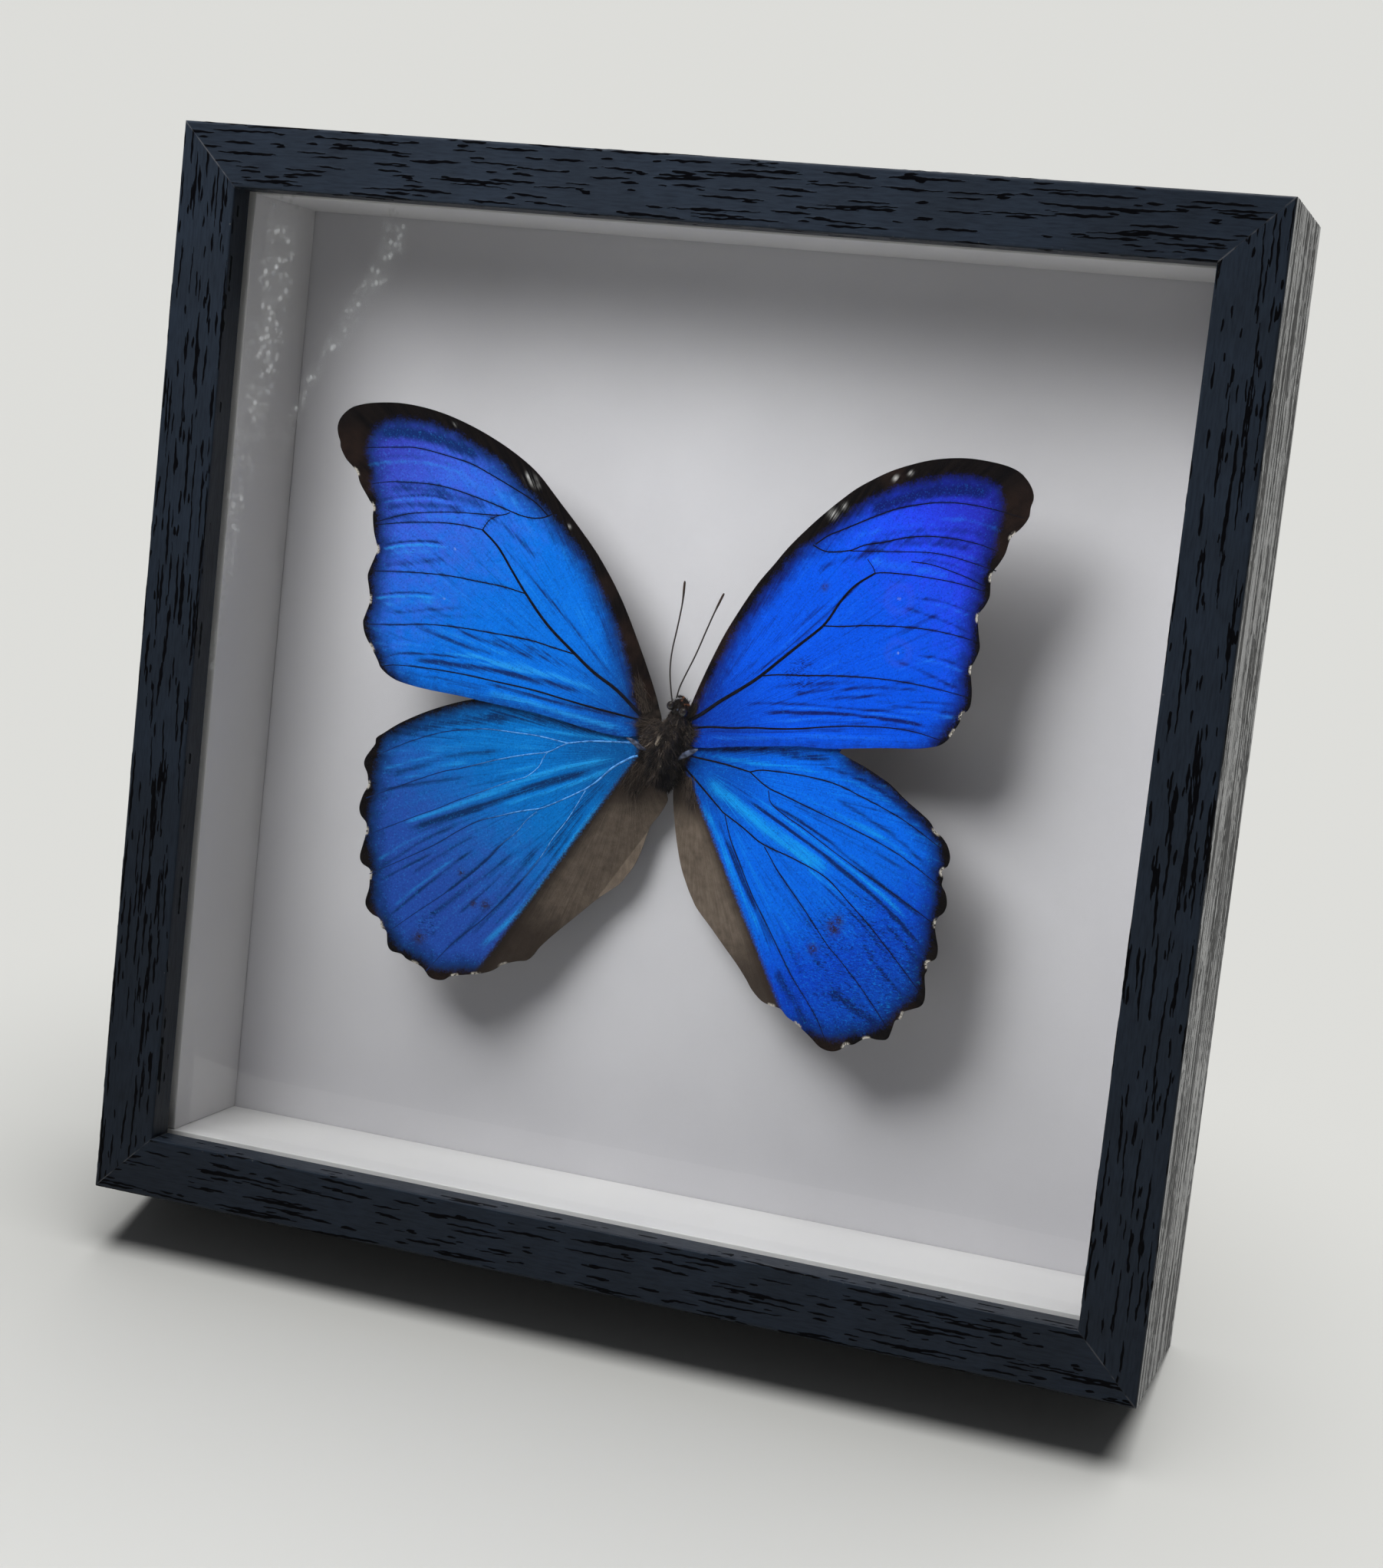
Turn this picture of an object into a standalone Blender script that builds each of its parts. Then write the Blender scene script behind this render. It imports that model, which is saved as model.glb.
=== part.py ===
"""A spread butterfly in a square shadow box that stands on an easel strut.

Units are metres, +Z up, +X to the viewer's right and +Y away from the viewer. The box
leans back, so it stands on the rear edge of its bottom rail and on the strut's foot.
The case is modelled upright: its origin is the middle of the front face, and y runs
from the front face (0) to the rear face (DEPTH). An empty then leans it back.
"""

import math

import bmesh
import bpy
from mathutils import Vector

MM = 0.001
GAP = 0.3 * MM  # clearance between neighbouring pieces

# Case
OUTER = 225 * MM  # outside of the square frame
DEPTH = 44 * MM  # front face to rear face
FACE = 12.7 * MM  # rail width seen from the front
LIP = 6.5 * MM  # depth of the lip that holds the glass
WALL = 9 * MM  # rail wall behind the lip
EASE = 0.4 * MM  # chamfer along the front arrises
GLASS = 2 * MM
SPACER_FACE = 12.9 * MM  # inner face of the spacers, from the outside of the frame
CARD_FRONT = 36.1 * MM
CARD = 2.2 * MM
BACKING = 5.2 * MM

# Stand
LEAN = math.radians(18)
OPEN = math.radians(38)  # angle between the rear face and the open strut
AXIS_UP = 130 * MM  # hinge axis above the frame's underside
AXIS_OUT = 3.2 * MM  # hinge axis behind the rear face
PIN_R = 0.9 * MM
BORE_R = 1.2 * MM
KNUCKLE_R = 2 * MM
SHEET = 0.8 * MM  # hinge sheet metal
PLATE_HALF = 15 * MM
PLATE_BELOW = 3.5 * MM  # hinge plate's lower and upper ends, from the axis
PLATE_ABOVE = 20 * MM
EAR_X = 11 * MM  # inside face of each ear
EAR_HALF = 2.6 * MM
EAR_REAR = 2.2 * MM  # ears end this far behind the axis
PIN_HEAD_R = 1.5 * MM
LEAF_LENGTH = 26 * MM
HEEL_HALF = 6 * MM  # heel that stops the strut on the hinge plate
HEEL_THICK = 0.8 * MM
HEEL_LOW = 1.5 * MM
HEEL_HIGH = 2.7 * MM
RIVET_R = 1.9 * MM
RIVET_RISE = 0.9 * MM
PLATE_RIVETS = ((-9, 8), (9, 8), (-9, 16), (9, 16))  # mm from the axis, x and up
LEAF_RIVETS = ((-6, 20), (6, 20), (0, 12))  # mm from the axis, x and down
STRUT_FRONT = -1.5 * MM  # faces of the strut board, from the axis
STRUT_REAR = 0.9 * MM
STRUT_TOP = 6 * MM  # board starts this far below the axis
STRUT_TOP_HALF = 17 * MM
STRUT_CORNER = 4 * MM  # cut off the board's top corners
STRUT_FOOT_HALF = 31 * MM

# Turn buttons
BUTTON_ALONG = 52 * MM  # from the middle of each rail
BUTTON_REACH = 11 * MM
BUTTON_HALF = 3.5 * MM
BUTTON_THICK = 1 * MM
BUTTON_SIDES = 24
SCREW_HOLE_R = 1.5 * MM
SCREW_R = 1.1 * MM
SCREW_DEPTH = 8 * MM
SCREW_HEAD_R = 2.6 * MM

# Specimen, in millimetres on the case's x and z, with y the depth behind the front face
BODY_X = -3.0
BODY_Y = 25.0
WING_RAYS = 60
WING_RINGS = 3
WING_THICK = 0.3

LEFT_FORE = (
    (-6.6, 2), (-7.5, 8.5), (-12.5, 20), (-20, 32.5), (-30, 44), (-40, 52.5), (-50, 57.2),
    (-60, 59.8), (-68, 60), (-74.5, 58.2), (-77.4, 54), (-76.5, 50), (-73, 45.2), (-69, 38.3),
    (-67.5, 29.6), (-69, 24), (-68.3, 19), (-69.4, 14), (-67, 8.5), (-62, 3), (-54, 1.6),
    (-40, 0.4), (-25, -1.4), (-11, -2.9), (-7.4, -1.5),
)
RIGHT_FORE = (
    (1.5, 3), (4, 12), (8, 21.5), (14, 32), (20, 40), (27, 47.5), (36.5, 55), (44, 58.5),
    (52, 60.5), (60, 60.6), (66, 59.2), (69.5, 54.5), (68.2, 49.5), (65.5, 45.7), (62.7, 39),
    (62.7, 35), (60.9, 31), (61.9, 24.7), (60.7, 20), (61.3, 14), (59.5, 10), (55, 4.5),
    (46, 2.9), (33, 0.9), (20, -0.5), (6, -2.8), (1.5, -1.2),
)
LEFT_HIND = (
    (-7.6, -4), (-14, -1.5), (-26, -0.5), (-38, 0.3), (-46, 0.4), (-55, -3.2), (-65, -10),
    (-67.1, -16), (-65.9, -20.2), (-67.2, -25), (-65.2, -30.2), (-66.1, -35.5), (-63.6, -39.5),
    (-64, -45), (-60, -50), (-57.2, -54.7), (-50.5, -57.1), (-47, -59.5), (-40, -57.4),
    (-28, -52.5), (-18, -40.5), (-10.8, -33), (-7, -23), (-3.8, -15.5), (-6.5, -11.5),
)
RIGHT_HIND = (
    (1.6, -4), (8, -2.5), (20, -0.8), (35, 0.2), (46.5, -4.5), (55.5, -10.5), (60.5, -16.7),
    (59.1, -20.2), (61, -26), (59.1, -30.5), (60.2, -36), (58.4, -39.5), (58.8, -45.5),
    (54.4, -50.4), (52.2, -54.7), (45, -57.4), (39.5, -59.7), (33, -56), (24.5, -52.8),
    (13.5, -43.5), (5, -35.8), (1.5, -28), (0.2, -16), (1.8, -11.6),
)
# A point on each hindwing's fold, and the way its brown inner lobe turns from there
LEFT_FOLD = ((-12, -11.5), (0.86, -0.51))
RIGHT_FOLD = ((4, -15), (-0.86, -0.51))
LOBE_SLOPE = 0.55
LOBE_LIMIT = 10  # the lobe is level again this far past its fold

THORAX_RADII = (3.5, 4, 6.4)
HEAD_RADII = (2.4, 2.2, 2.3)
ANTENNA_R = 0.22 * MM
POST_R = 2.2 * MM
LEFT_ANTENNA = (
    (-2.6, 23.4, 7.5), (-3.3, 23, 12), (-3.2, 23, 16), (-2.6, 23, 21), (-2.1, 23, 26),
    (-2.1, 23, 30.5),
)
RIGHT_ANTENNA = (
    (-1.1, 23.4, 7.6), (0, 23, 11), (2, 23, 16), (3.8, 23, 21.5), (5, 23, 25), (6.5, 23, 29),
)

CARD_WHITE = (0.62, 0.61, 0.66)
BLACK_FOIL = (0.016, 0.018, 0.024)
WING_BLUE = (0.01, 0.12, 0.75)
FUR_BROWN = (0.04, 0.03, 0.025)
STEEL = (0.55, 0.55, 0.56)


def clear_scene():
    for thing in list(bpy.data.objects):
        bpy.data.objects.remove(thing)


def material(name, colour, roughness, metallic=0.0, alpha=1.0):
    made = bpy.data.materials.new(name)
    made.use_nodes = True
    shader = made.node_tree.nodes["Principled BSDF"]
    shader.inputs["Base Color"].default_value = (*colour, 1)
    shader.inputs["Roughness"].default_value = roughness
    shader.inputs["Metallic"].default_value = metallic
    shader.inputs["Alpha"].default_value = alpha
    made.diffuse_color = (*colour, alpha)
    return made


def empty(name, parent=None, location=(0, 0, 0), turn=(0, 0, 0)):
    made = bpy.data.objects.new(name, None)
    bpy.context.collection.objects.link(made)
    made.parent = parent
    made.location = location
    made.rotation_euler = turn
    return made


def piece(name, bm, finish, parent, location=(0, 0, 0), turn=(0, 0, 0), smooth=False):
    """Make an object of a bmesh, with its faces turned outwards."""
    bmesh.ops.recalc_face_normals(bm, faces=bm.faces)
    mesh = bpy.data.meshes.new(name)
    bm.to_mesh(mesh)
    bm.free()
    mesh.materials.append(finish)
    if smooth:
        mesh.shade_smooth()
        mesh.set_sharp_from_angle(angle=math.radians(40))
    made = bpy.data.objects.new(name, mesh)
    bpy.context.collection.objects.link(made)
    made.parent = parent
    made.location = location
    made.rotation_euler = turn
    return made


def box(low, high):
    """A box between two corners."""
    bm = bmesh.new()
    bmesh.ops.create_cube(bm, size=1)
    size = [b - a for a, b in zip(low, high)]
    middle = [(a + b) / 2 for a, b in zip(low, high)]
    bmesh.ops.scale(bm, vec=size, verts=bm.verts)
    bmesh.ops.translate(bm, vec=middle, verts=bm.verts)
    return bm


def loft(loops):
    """A closed solid through loops of equal length, with both ends filled."""
    bm = bmesh.new()
    rows = [[bm.verts.new(point) for point in loop] for loop in loops]
    for near, far in zip(rows, rows[1:]):
        for i in range(len(near)):
            j = (i + 1) % len(near)
            bm.faces.new((near[i], near[j], far[j], far[i]))
    bm.faces.new(rows[0])
    bm.faces.new(rows[-1])
    return bm


def turned(profile, axis, sides=12):
    """Turn (along, radius) points round an axis, closed at both ends."""
    loops = []
    for along, radius in profile:
        loop = []
        for i in range(sides):
            angle = math.tau * i / sides
            across, up = radius * math.cos(angle), radius * math.sin(angle)
            loop.append((along, across, up) if axis == "X" else (across, along, up))
        loops.append(loop)
    return loft(loops)


def combine(target, name, bm, parent, operation):
    """Cut or join a helper shape; the helper itself isn't part of the object."""
    helper = piece(name, bm, target.data.materials[0], parent)
    helper.location = target.location
    helper.rotation_euler = target.rotation_euler
    helper.hide_render = True
    helper.display_type = "WIRE"
    step = target.modifiers.new(name, "BOOLEAN")
    step.object = helper
    step.operation = operation
    step.solver = "EXACT"


def rail(name, turn, finish, case):
    """An L-section rail with mitred ends, made as the bottom one and turned into place."""
    section = (
        (0, EASE), (EASE, 0), (FACE - EASE, 0), (FACE, EASE), (FACE, LIP), (WALL, LIP),
        (WALL, DEPTH), (0, DEPTH),
    )
    half = OUTER / 2
    ends = []
    for side in (-1, 1):
        ends.append([(side * (half - u - GAP / 2), y, u - half) for u, y in section])
    made = piece(name, loft(ends), finish, case, turn=(0, turn, 0))
    start, deep = DEPTH + GAP, DEPTH - SCREW_DEPTH
    hole = turned(((start, SCREW_HOLE_R), (deep, SCREW_HOLE_R)), "Y")
    bmesh.ops.translate(hole, vec=(BUTTON_ALONG, 0, WALL / 2 - half), verts=hole.verts)
    combine(made, f"{name}_screw_hole", hole, case, "DIFFERENCE")


def turn_button(side, turn, finish, screw_finish, case):
    """A flat oblong button on the rail's rear face, swung inwards over the backing board."""
    outline = []
    for i in range(BUTTON_SIDES):
        angle = math.tau * i / BUTTON_SIDES
        shift = BUTTON_REACH - BUTTON_HALF if math.sin(angle) >= 0 else 0
        outline.append((BUTTON_HALF * math.cos(angle), BUTTON_HALF * math.sin(angle) + shift))
    front = DEPTH + GAP
    seat = Vector((BUTTON_ALONG, 0, WALL / 2 - OUTER / 2))
    loops = []
    for y in (front, front + BUTTON_THICK):
        loops.append([Vector((x, y, z)) + seat for x, z in outline])
    button = piece(f"turn_button_{side}", loft(loops), finish, case, turn=(0, turn, 0))
    hole = turned(((front - GAP, SCREW_HOLE_R), (front + 2 * BUTTON_THICK, SCREW_HOLE_R)), "Y")
    bmesh.ops.translate(hole, vec=seat, verts=hole.verts)
    combine(button, f"turn_button_{side}_hole", hole, case, "DIFFERENCE")
    screw = pan_screw(front + BUTTON_THICK + GAP, DEPTH - SCREW_DEPTH + GAP)
    bmesh.ops.translate(screw, vec=seat, verts=screw.verts)
    piece(f"turn_button_screw_{side}", screw, screw_finish, case, turn=(0, turn, 0), smooth=True)


def pan_screw(seat, tip):
    """A pan-headed screw along Y: its head sits behind `seat`, its tip is at `tip`."""
    head = SCREW_HEAD_R
    profile = (
        (tip, 0.3 * SCREW_R), (tip + 2 * SCREW_R, SCREW_R), (seat, SCREW_R), (seat, head),
        (seat + 0.5 * MM, head), (seat + 1.1 * MM, 0.62 * head), (seat + 1.3 * MM, 0.2 * head),
    )
    return turned(profile, "Y")


def rivet(seat):
    """A low domed rivet head along Y, behind `seat`."""
    profile = (
        (seat, RIVET_R), (seat + 0.45 * RIVET_RISE, 0.95 * RIVET_R),
        (seat + RIVET_RISE, 0.5 * RIVET_R),
    )
    return turned(profile, "Y")


def build_case(case):
    foil = material("black_wood_foil", BLACK_FOIL, 0.4)
    white = material("white_board", CARD_WHITE, 0.8)
    half = OUTER / 2
    inside = half - WALL - GAP
    for i, side in enumerate(("bottom", "left", "top", "right")):
        rail(f"rail_{side}", i * math.pi / 2, foil, case)

    back_of_glass = LIP + GAP + GLASS
    pane = box((-inside, LIP + GAP, -inside), (inside, back_of_glass, inside))
    piece("glass", pane, material("glass", (0.9, 0.95, 0.95), 0.02, alpha=0.15), case)

    thick = SPACER_FACE - WALL - GAP
    low = (-inside, back_of_glass + GAP, -inside)
    high = (inside - thick - GAP, CARD_FRONT - GAP, -inside + thick)
    for i, side in enumerate(("bottom", "left", "top", "right")):
        piece(f"spacer_{side}", box(low, high), white, case, turn=(0, i * math.pi / 2, 0))

    card = box((-inside, CARD_FRONT, -inside), (inside, CARD_FRONT + CARD, inside))
    piece("mount_card", card, white, case)
    board_front = CARD_FRONT + CARD + GAP
    board = box((-inside, board_front, -inside), (inside, board_front + BACKING, inside))
    piece("backing_board", board, material("black_board", (0.03, 0.03, 0.03), 0.8), case)

    steel = material("steel", STEEL, 0.35, 1.0)
    for i, side in enumerate(("bottom", "left", "top", "right")):
        turn_button(side, i * math.pi / 2, steel, steel, case)


def build_stand(case):
    """The hinge bracket on the backing board, and the strut that swings on it."""
    steel = material("hinge_steel", STEEL, 0.35, 1.0)
    rear = CARD_FRONT + CARD + GAP + BACKING  # rear face of the backing board
    axis_y = DEPTH + AXIS_OUT
    axis_z = AXIS_UP - OUTER / 2
    plate_rear = rear + GAP + SHEET
    plate = box(
        (-PLATE_HALF, rear + GAP, axis_z - PLATE_BELOW),
        (PLATE_HALF, plate_rear, axis_z + PLATE_ABOVE),
    )
    bracket = piece("hinge_plate", plate, steel, case)
    for side in (-1, 1):
        near, far = sorted((side * EAR_X, side * (EAR_X + SHEET)))
        ear = box(
            (near, rear + 1.5 * GAP, axis_z - EAR_HALF), (far, axis_y + EAR_REAR, axis_z + EAR_HALF)
        )
        combine(bracket, f"ear_{'left' if side < 0 else 'right'}", ear, case, "UNION")
    reach = EAR_X + 3 * SHEET
    bore = turned(((-reach, BORE_R), (reach, BORE_R)), "X")
    bmesh.ops.translate(bore, vec=(0, axis_y, axis_z), verts=bore.verts)
    combine(bracket, "ear_bore", bore, case, "DIFFERENCE")

    end = EAR_X + SHEET + GAP
    pin = turned(
        (
            (-end - SHEET, PIN_HEAD_R), (-end, PIN_HEAD_R), (-end, PIN_R), (end, PIN_R),
            (end, PIN_HEAD_R), (end + SHEET, PIN_HEAD_R),
        ),
        "X",
    )
    piece("hinge_pin", pin, steel, case, location=(0, axis_y, axis_z), smooth=True)

    for number, (x, up) in enumerate(PLATE_RIVETS, start=1):
        spot = (x * MM, 0, axis_z + up * MM)
        name = f"plate_rivet_{number}"
        piece(name, rivet(plate_rear + GAP), steel, case, location=spot, smooth=True)

    hinge = empty("strut_axis", case, (0, axis_y, axis_z), (OPEN, 0, 0))
    build_strut(hinge, steel)


def build_strut(hinge, steel):
    """The swinging side: origin on the hinge axis, board hanging down -Z from it."""
    past = OPEN - LEAN  # strut's angle beyond upright
    axis_height = AXIS_UP * math.cos(LEAN) - AXIS_OUT * math.sin(LEAN)
    board = material("strut_board", (0.03, 0.03, 0.03), 0.75)
    loops = []
    for y in (STRUT_FRONT, STRUT_REAR):
        foot = -(axis_height + y * math.sin(past)) / math.cos(past)
        top, shoulder = STRUT_TOP_HALF - STRUT_CORNER, -STRUT_TOP - STRUT_CORNER
        outline = (
            (-top, -STRUT_TOP), (top, -STRUT_TOP), (STRUT_TOP_HALF, shoulder),
            (STRUT_FOOT_HALF, foot), (-STRUT_FOOT_HALF, foot), (-STRUT_TOP_HALF, shoulder),
        )
        loops.append([(x, y, z) for x, z in outline])
    piece("strut", loft(loops), board, hinge)

    width = EAR_X - GAP
    front = KNUCKLE_R - SHEET
    leaf_box = box((-width, front, -LEAF_LENGTH), (width, KNUCKLE_R, 0))
    leaf = piece("strut_leaf", leaf_box, steel, hinge)
    barrel = turned(((-width + GAP, KNUCKLE_R), (width - GAP, KNUCKLE_R)), "X", sides=16)
    combine(leaf, "leaf_barrel", barrel, hinge, "UNION")
    heel = box((-HEEL_HALF, -HEEL_THICK / 2, HEEL_LOW), (HEEL_HALF, HEEL_THICK / 2, HEEL_HIGH))
    combine(leaf, "leaf_heel", heel, hinge, "UNION")
    bore = turned(((-2 * width, BORE_R), (2 * width, BORE_R)), "X")
    combine(leaf, "leaf_bore", bore, hinge, "DIFFERENCE")
    for number, (x, down) in enumerate(LEAF_RIVETS, start=1):
        spot = (x * MM, 0, -down * MM)
        name = f"leaf_rivet_{number}"
        piece(name, rivet(KNUCKLE_R + GAP), steel, hinge, location=spot, smooth=True)


def fore_surface(x, z):
    """Depth of the forewings, mm: further forward away from the body, and more at the tip."""
    out = abs(x - BODY_X)
    tip = max(0.0, math.hypot(out, z) - 50) / 42
    return 25.2 - 0.13 * out - 0.045 * max(z, -5) - 1.5 * tip * tip


def hind_surface(x, z, fold):
    """Depth of the hindwings, mm: just behind the forewings, with the inner lobe bent back."""
    (fold_x, fold_z), (way_x, way_z) = fold
    beyond = (x - fold_x) * way_x + (z - fold_z) * way_z
    return 26.2 - 0.13 * abs(x - BODY_X) + LOBE_SLOPE * max(0.0, min(beyond, LOBE_LIMIT))


def smooth_ring(points, count):
    """`count` points at equal steps of the parameter on a closed Catmull-Rom curve."""
    n = len(points)
    ring = []
    for step in range(count):
        at = step * n / count
        i, t = int(at), at - int(at)
        a, b, c, d = (Vector(points[(i + k) % n]) for k in (-1, 0, 1, 2))
        bend = 2 * a - 5 * b + 4 * c - d
        twist = 3 * b - a - 3 * c + d
        ring.append((2 * b + (c - a) * t + bend * t * t + twist * t ** 3) / 2)
    return ring


def wing(name, outline, hub, surface, finish, case):
    """A thin wing: rings between a hub by the body and the outline, on both faces."""
    edge = smooth_ring(outline, WING_RAYS)
    hub = Vector(hub)
    bm = bmesh.new()
    faces = []
    for side in (-1, 1):
        rings = []
        for ring in range(1, WING_RINGS + 1):
            points = [hub.lerp(point, ring / WING_RINGS) for point in edge]
            depth = [surface(p.x, p.y) + side * WING_THICK / 2 for p in points]
            rings.append([bm.verts.new(Vector((p.x, y, p.y)) * MM) for p, y in zip(points, depth)])
        middle = Vector((hub.x, surface(hub.x, hub.y) + side * WING_THICK / 2, hub.y)) * MM
        faces.append((bm.verts.new(middle), rings))
    for centre, rings in faces:
        for i in range(WING_RAYS):
            j = (i + 1) % WING_RAYS
            bm.faces.new((centre, rings[0][i], rings[0][j]))
            for inner, outer in zip(rings, rings[1:]):
                bm.faces.new((inner[i], outer[i], outer[j]))
                bm.faces.new((inner[i], outer[j], inner[j]))
    front, rear = faces[0][1][-1], faces[1][1][-1]
    for i in range(WING_RAYS):
        j = (i + 1) % WING_RAYS
        bm.faces.new((front[i], front[j], rear[j]))
        bm.faces.new((front[i], rear[j], rear[i]))
    piece(name, bm, finish, case)


def egg(name, centre, radii, finish, case):
    """A rounded body part, given in millimetres."""
    bm = bmesh.new()
    bmesh.ops.create_uvsphere(bm, u_segments=14, v_segments=9, radius=MM)
    bmesh.ops.scale(bm, vec=radii, verts=bm.verts)
    piece(name, bm, finish, case, location=Vector(centre) * MM, smooth=True)


def antenna(name, knots, finish, case):
    """A thin curved feeler through its knots (x, y, z in millimetres)."""
    curve = bpy.data.curves.new(name, "CURVE")
    curve.dimensions = "3D"
    curve.bevel_depth = ANTENNA_R
    curve.bevel_resolution = 1
    curve.use_fill_caps = True
    line = curve.splines.new("POLY")
    line.points.add(len(knots) - 1)
    for point, knot in zip(line.points, knots):
        point.co = (*(Vector(knot) * MM), 1)
    curve.materials.append(finish)
    made = bpy.data.objects.new(name, curve)
    bpy.context.collection.objects.link(made)
    made.parent = case


def build_specimen(case):
    blue = material("wing_blue", WING_BLUE, 0.35, 0.6)
    fur = material("body_fur", FUR_BROWN, 0.9)
    wing("forewing_left", LEFT_FORE, (-9.5, 0), fore_surface, blue, case)
    wing("forewing_right", RIGHT_FORE, (3.5, 0), fore_surface, blue, case)

    def left_hind(x, z):
        return hind_surface(x, z, LEFT_FOLD)

    def right_hind(x, z):
        return hind_surface(x, z, RIGHT_FOLD)

    wing("hindwing_left", LEFT_HIND, (-10, -6.5), left_hind, blue, case)
    wing("hindwing_right", RIGHT_HIND, (4, -6.5), right_hind, blue, case)

    egg("thorax", (BODY_X - 0.2, BODY_Y, -4.2), THORAX_RADII, fur, case)
    egg("head", (-1.3, BODY_Y - 1, 4.9), HEAD_RADII, fur, case)
    antenna("antenna_left", LEFT_ANTENNA, fur, case)
    antenna("antenna_right", RIGHT_ANTENNA, fur, case)

    front = (BODY_Y + THORAX_RADII[1] + 0.3) * MM
    post = turned(((front, POST_R), (CARD_FRONT - GAP, POST_R)), "Y", sides=16)
    spot = (BODY_X * MM, 0, -4 * MM)
    clear = material("clear_post", (0.8, 0.8, 0.8), 0.2, alpha=0.4)
    piece("specimen_post", post, clear, case, location=spot, smooth=True)


def lean_back():
    """The empty that leans the case: rear bottom edge on z = 0, and x and y centred on the box."""
    past = OPEN - LEAN
    axis_y = AXIS_UP * math.sin(LEAN) + AXIS_OUT * math.cos(LEAN)
    axis_z = AXIS_UP * math.cos(LEAN) - AXIS_OUT * math.sin(LEAN)
    foremost = -DEPTH * math.cos(LEAN)
    rearmost = axis_y + axis_z * math.tan(past) + STRUT_REAR / math.cos(past)
    rear_edge = Vector((0, DEPTH, -OUTER / 2))
    turned_edge_y = rear_edge.y * math.cos(LEAN) + rear_edge.z * math.sin(LEAN)
    turned_edge_z = -rear_edge.y * math.sin(LEAN) + rear_edge.z * math.cos(LEAN)
    shift = -(foremost + rearmost) / 2
    return empty("case", None, (0, shift - turned_edge_y, -turned_edge_z), (-LEAN, 0, 0))


clear_scene()
leaning_case = lean_back()
build_case(leaning_case)
build_stand(leaning_case)
build_specimen(leaning_case)
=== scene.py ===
import math

import bmesh
import bpy
import numpy as np
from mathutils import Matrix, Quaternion, Vector


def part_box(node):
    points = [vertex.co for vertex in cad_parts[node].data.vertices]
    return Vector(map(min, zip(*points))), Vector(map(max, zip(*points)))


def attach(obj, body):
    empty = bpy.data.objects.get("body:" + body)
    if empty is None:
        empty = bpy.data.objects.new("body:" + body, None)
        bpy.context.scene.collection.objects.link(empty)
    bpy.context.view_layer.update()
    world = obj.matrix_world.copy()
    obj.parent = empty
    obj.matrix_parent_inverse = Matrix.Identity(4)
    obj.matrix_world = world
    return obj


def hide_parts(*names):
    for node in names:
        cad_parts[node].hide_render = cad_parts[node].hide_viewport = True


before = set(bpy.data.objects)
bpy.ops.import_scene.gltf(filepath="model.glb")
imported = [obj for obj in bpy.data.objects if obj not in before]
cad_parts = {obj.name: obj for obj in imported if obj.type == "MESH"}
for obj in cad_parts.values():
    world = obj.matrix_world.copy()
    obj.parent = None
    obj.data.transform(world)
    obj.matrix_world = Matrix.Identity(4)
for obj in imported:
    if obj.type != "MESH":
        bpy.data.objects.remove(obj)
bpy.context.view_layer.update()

# Shapes are written in millimetres on the case as if it stood upright: x to the right, y back
# from the front face, z up from the middle. leanBack brings them to the frame's own metres.
case = {
    "lean": 18,  # degrees
    "outer": 225,
    "depth": 44,
    "face": 12.7,  # rail width seen from the front
    "lip": 6.5,  # depth of the lip in front of the glass
    "wall": 9,
    "axisUp": 130,  # hinge axis above the underside
    "axisOut": 3.2,  # hinge axis behind the rear face
}
half = case["outer"] / 2


def leanBack(points):
    # the case turned back about X by its lean, with its hinge axis laid on the hinge pin's middle
    low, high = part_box("hinge_pin")
    pin = np.array((low + high) / 2)
    points = np.asarray(points, float)
    y = points[..., 1] - case["depth"] - case["axisOut"]
    z = points[..., 2] - case["axisUp"] + half
    c, s = math.cos(math.radians(case["lean"])), math.sin(math.radians(case["lean"]))
    return np.stack((points[..., 0], y * c + z * s, z * c - y * s), -1) * 0.001 + pin


def smoothStep(low, high, value):
    # 0 below low, 1 above high, and the cubic 3t^2 - 2t^3 between
    t = np.clip((value - low) / (high - low), 0, 1)
    return t * t * (3 - 2 * t)


def smoothLine(knots, count, closed=False):
    # a Catmull-Rom curve through the knots, read at count equal steps of its own length
    k = np.asarray(knots, float)
    if closed:
        a, b, c, d = np.roll(k, 1, 0), k, np.roll(k, -1, 0), np.roll(k, -2, 0)
    else:
        wide = np.vstack((2 * k[0] - k[1], k, 2 * k[-1] - k[-2]))
        a, b, c, d = wide[:-3], wide[1:-2], wide[2:-1], wide[3:]
    a, b, c, d = (q[:, None, :] for q in (a, b, c, d))
    t = np.linspace(0, 1, 16, endpoint=False)[None, :, None]
    fine = 2 * b + (c - a) * t + (2 * a - 5 * b + 4 * c - d) * t**2 + (3 * b - a - 3 * c + d) * t**3
    fine = np.vstack((fine.reshape(-1, k.shape[1]) / 2, k[:1] if closed else k[-1:]))
    run = np.concatenate(([0], np.cumsum(np.linalg.norm(np.diff(fine, axis=0), axis=1))))
    at = np.linspace(0, run[-1], count, endpoint=not closed)
    return np.stack([np.interp(at, run, column) for column in fine.T], 1)


def gridFaces(rows, columns, closeRows=False, closeColumns=False, start=0):
    # the four-cornered faces of a grid of points numbered row by row
    i = np.arange(rows if closeRows else rows - 1)[:, None]
    j = np.arange(columns if closeColumns else columns - 1)[None, :]
    near, far = i * columns, (i + 1) % rows * columns
    left, right = j, (j + 1) % columns
    corners = (near + left, near + right, far + right, far + left)
    shape = (len(i), j.shape[1])
    return start + np.stack([np.broadcast_to(c, shape) for c in corners], -1).reshape(-1, 4)


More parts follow.
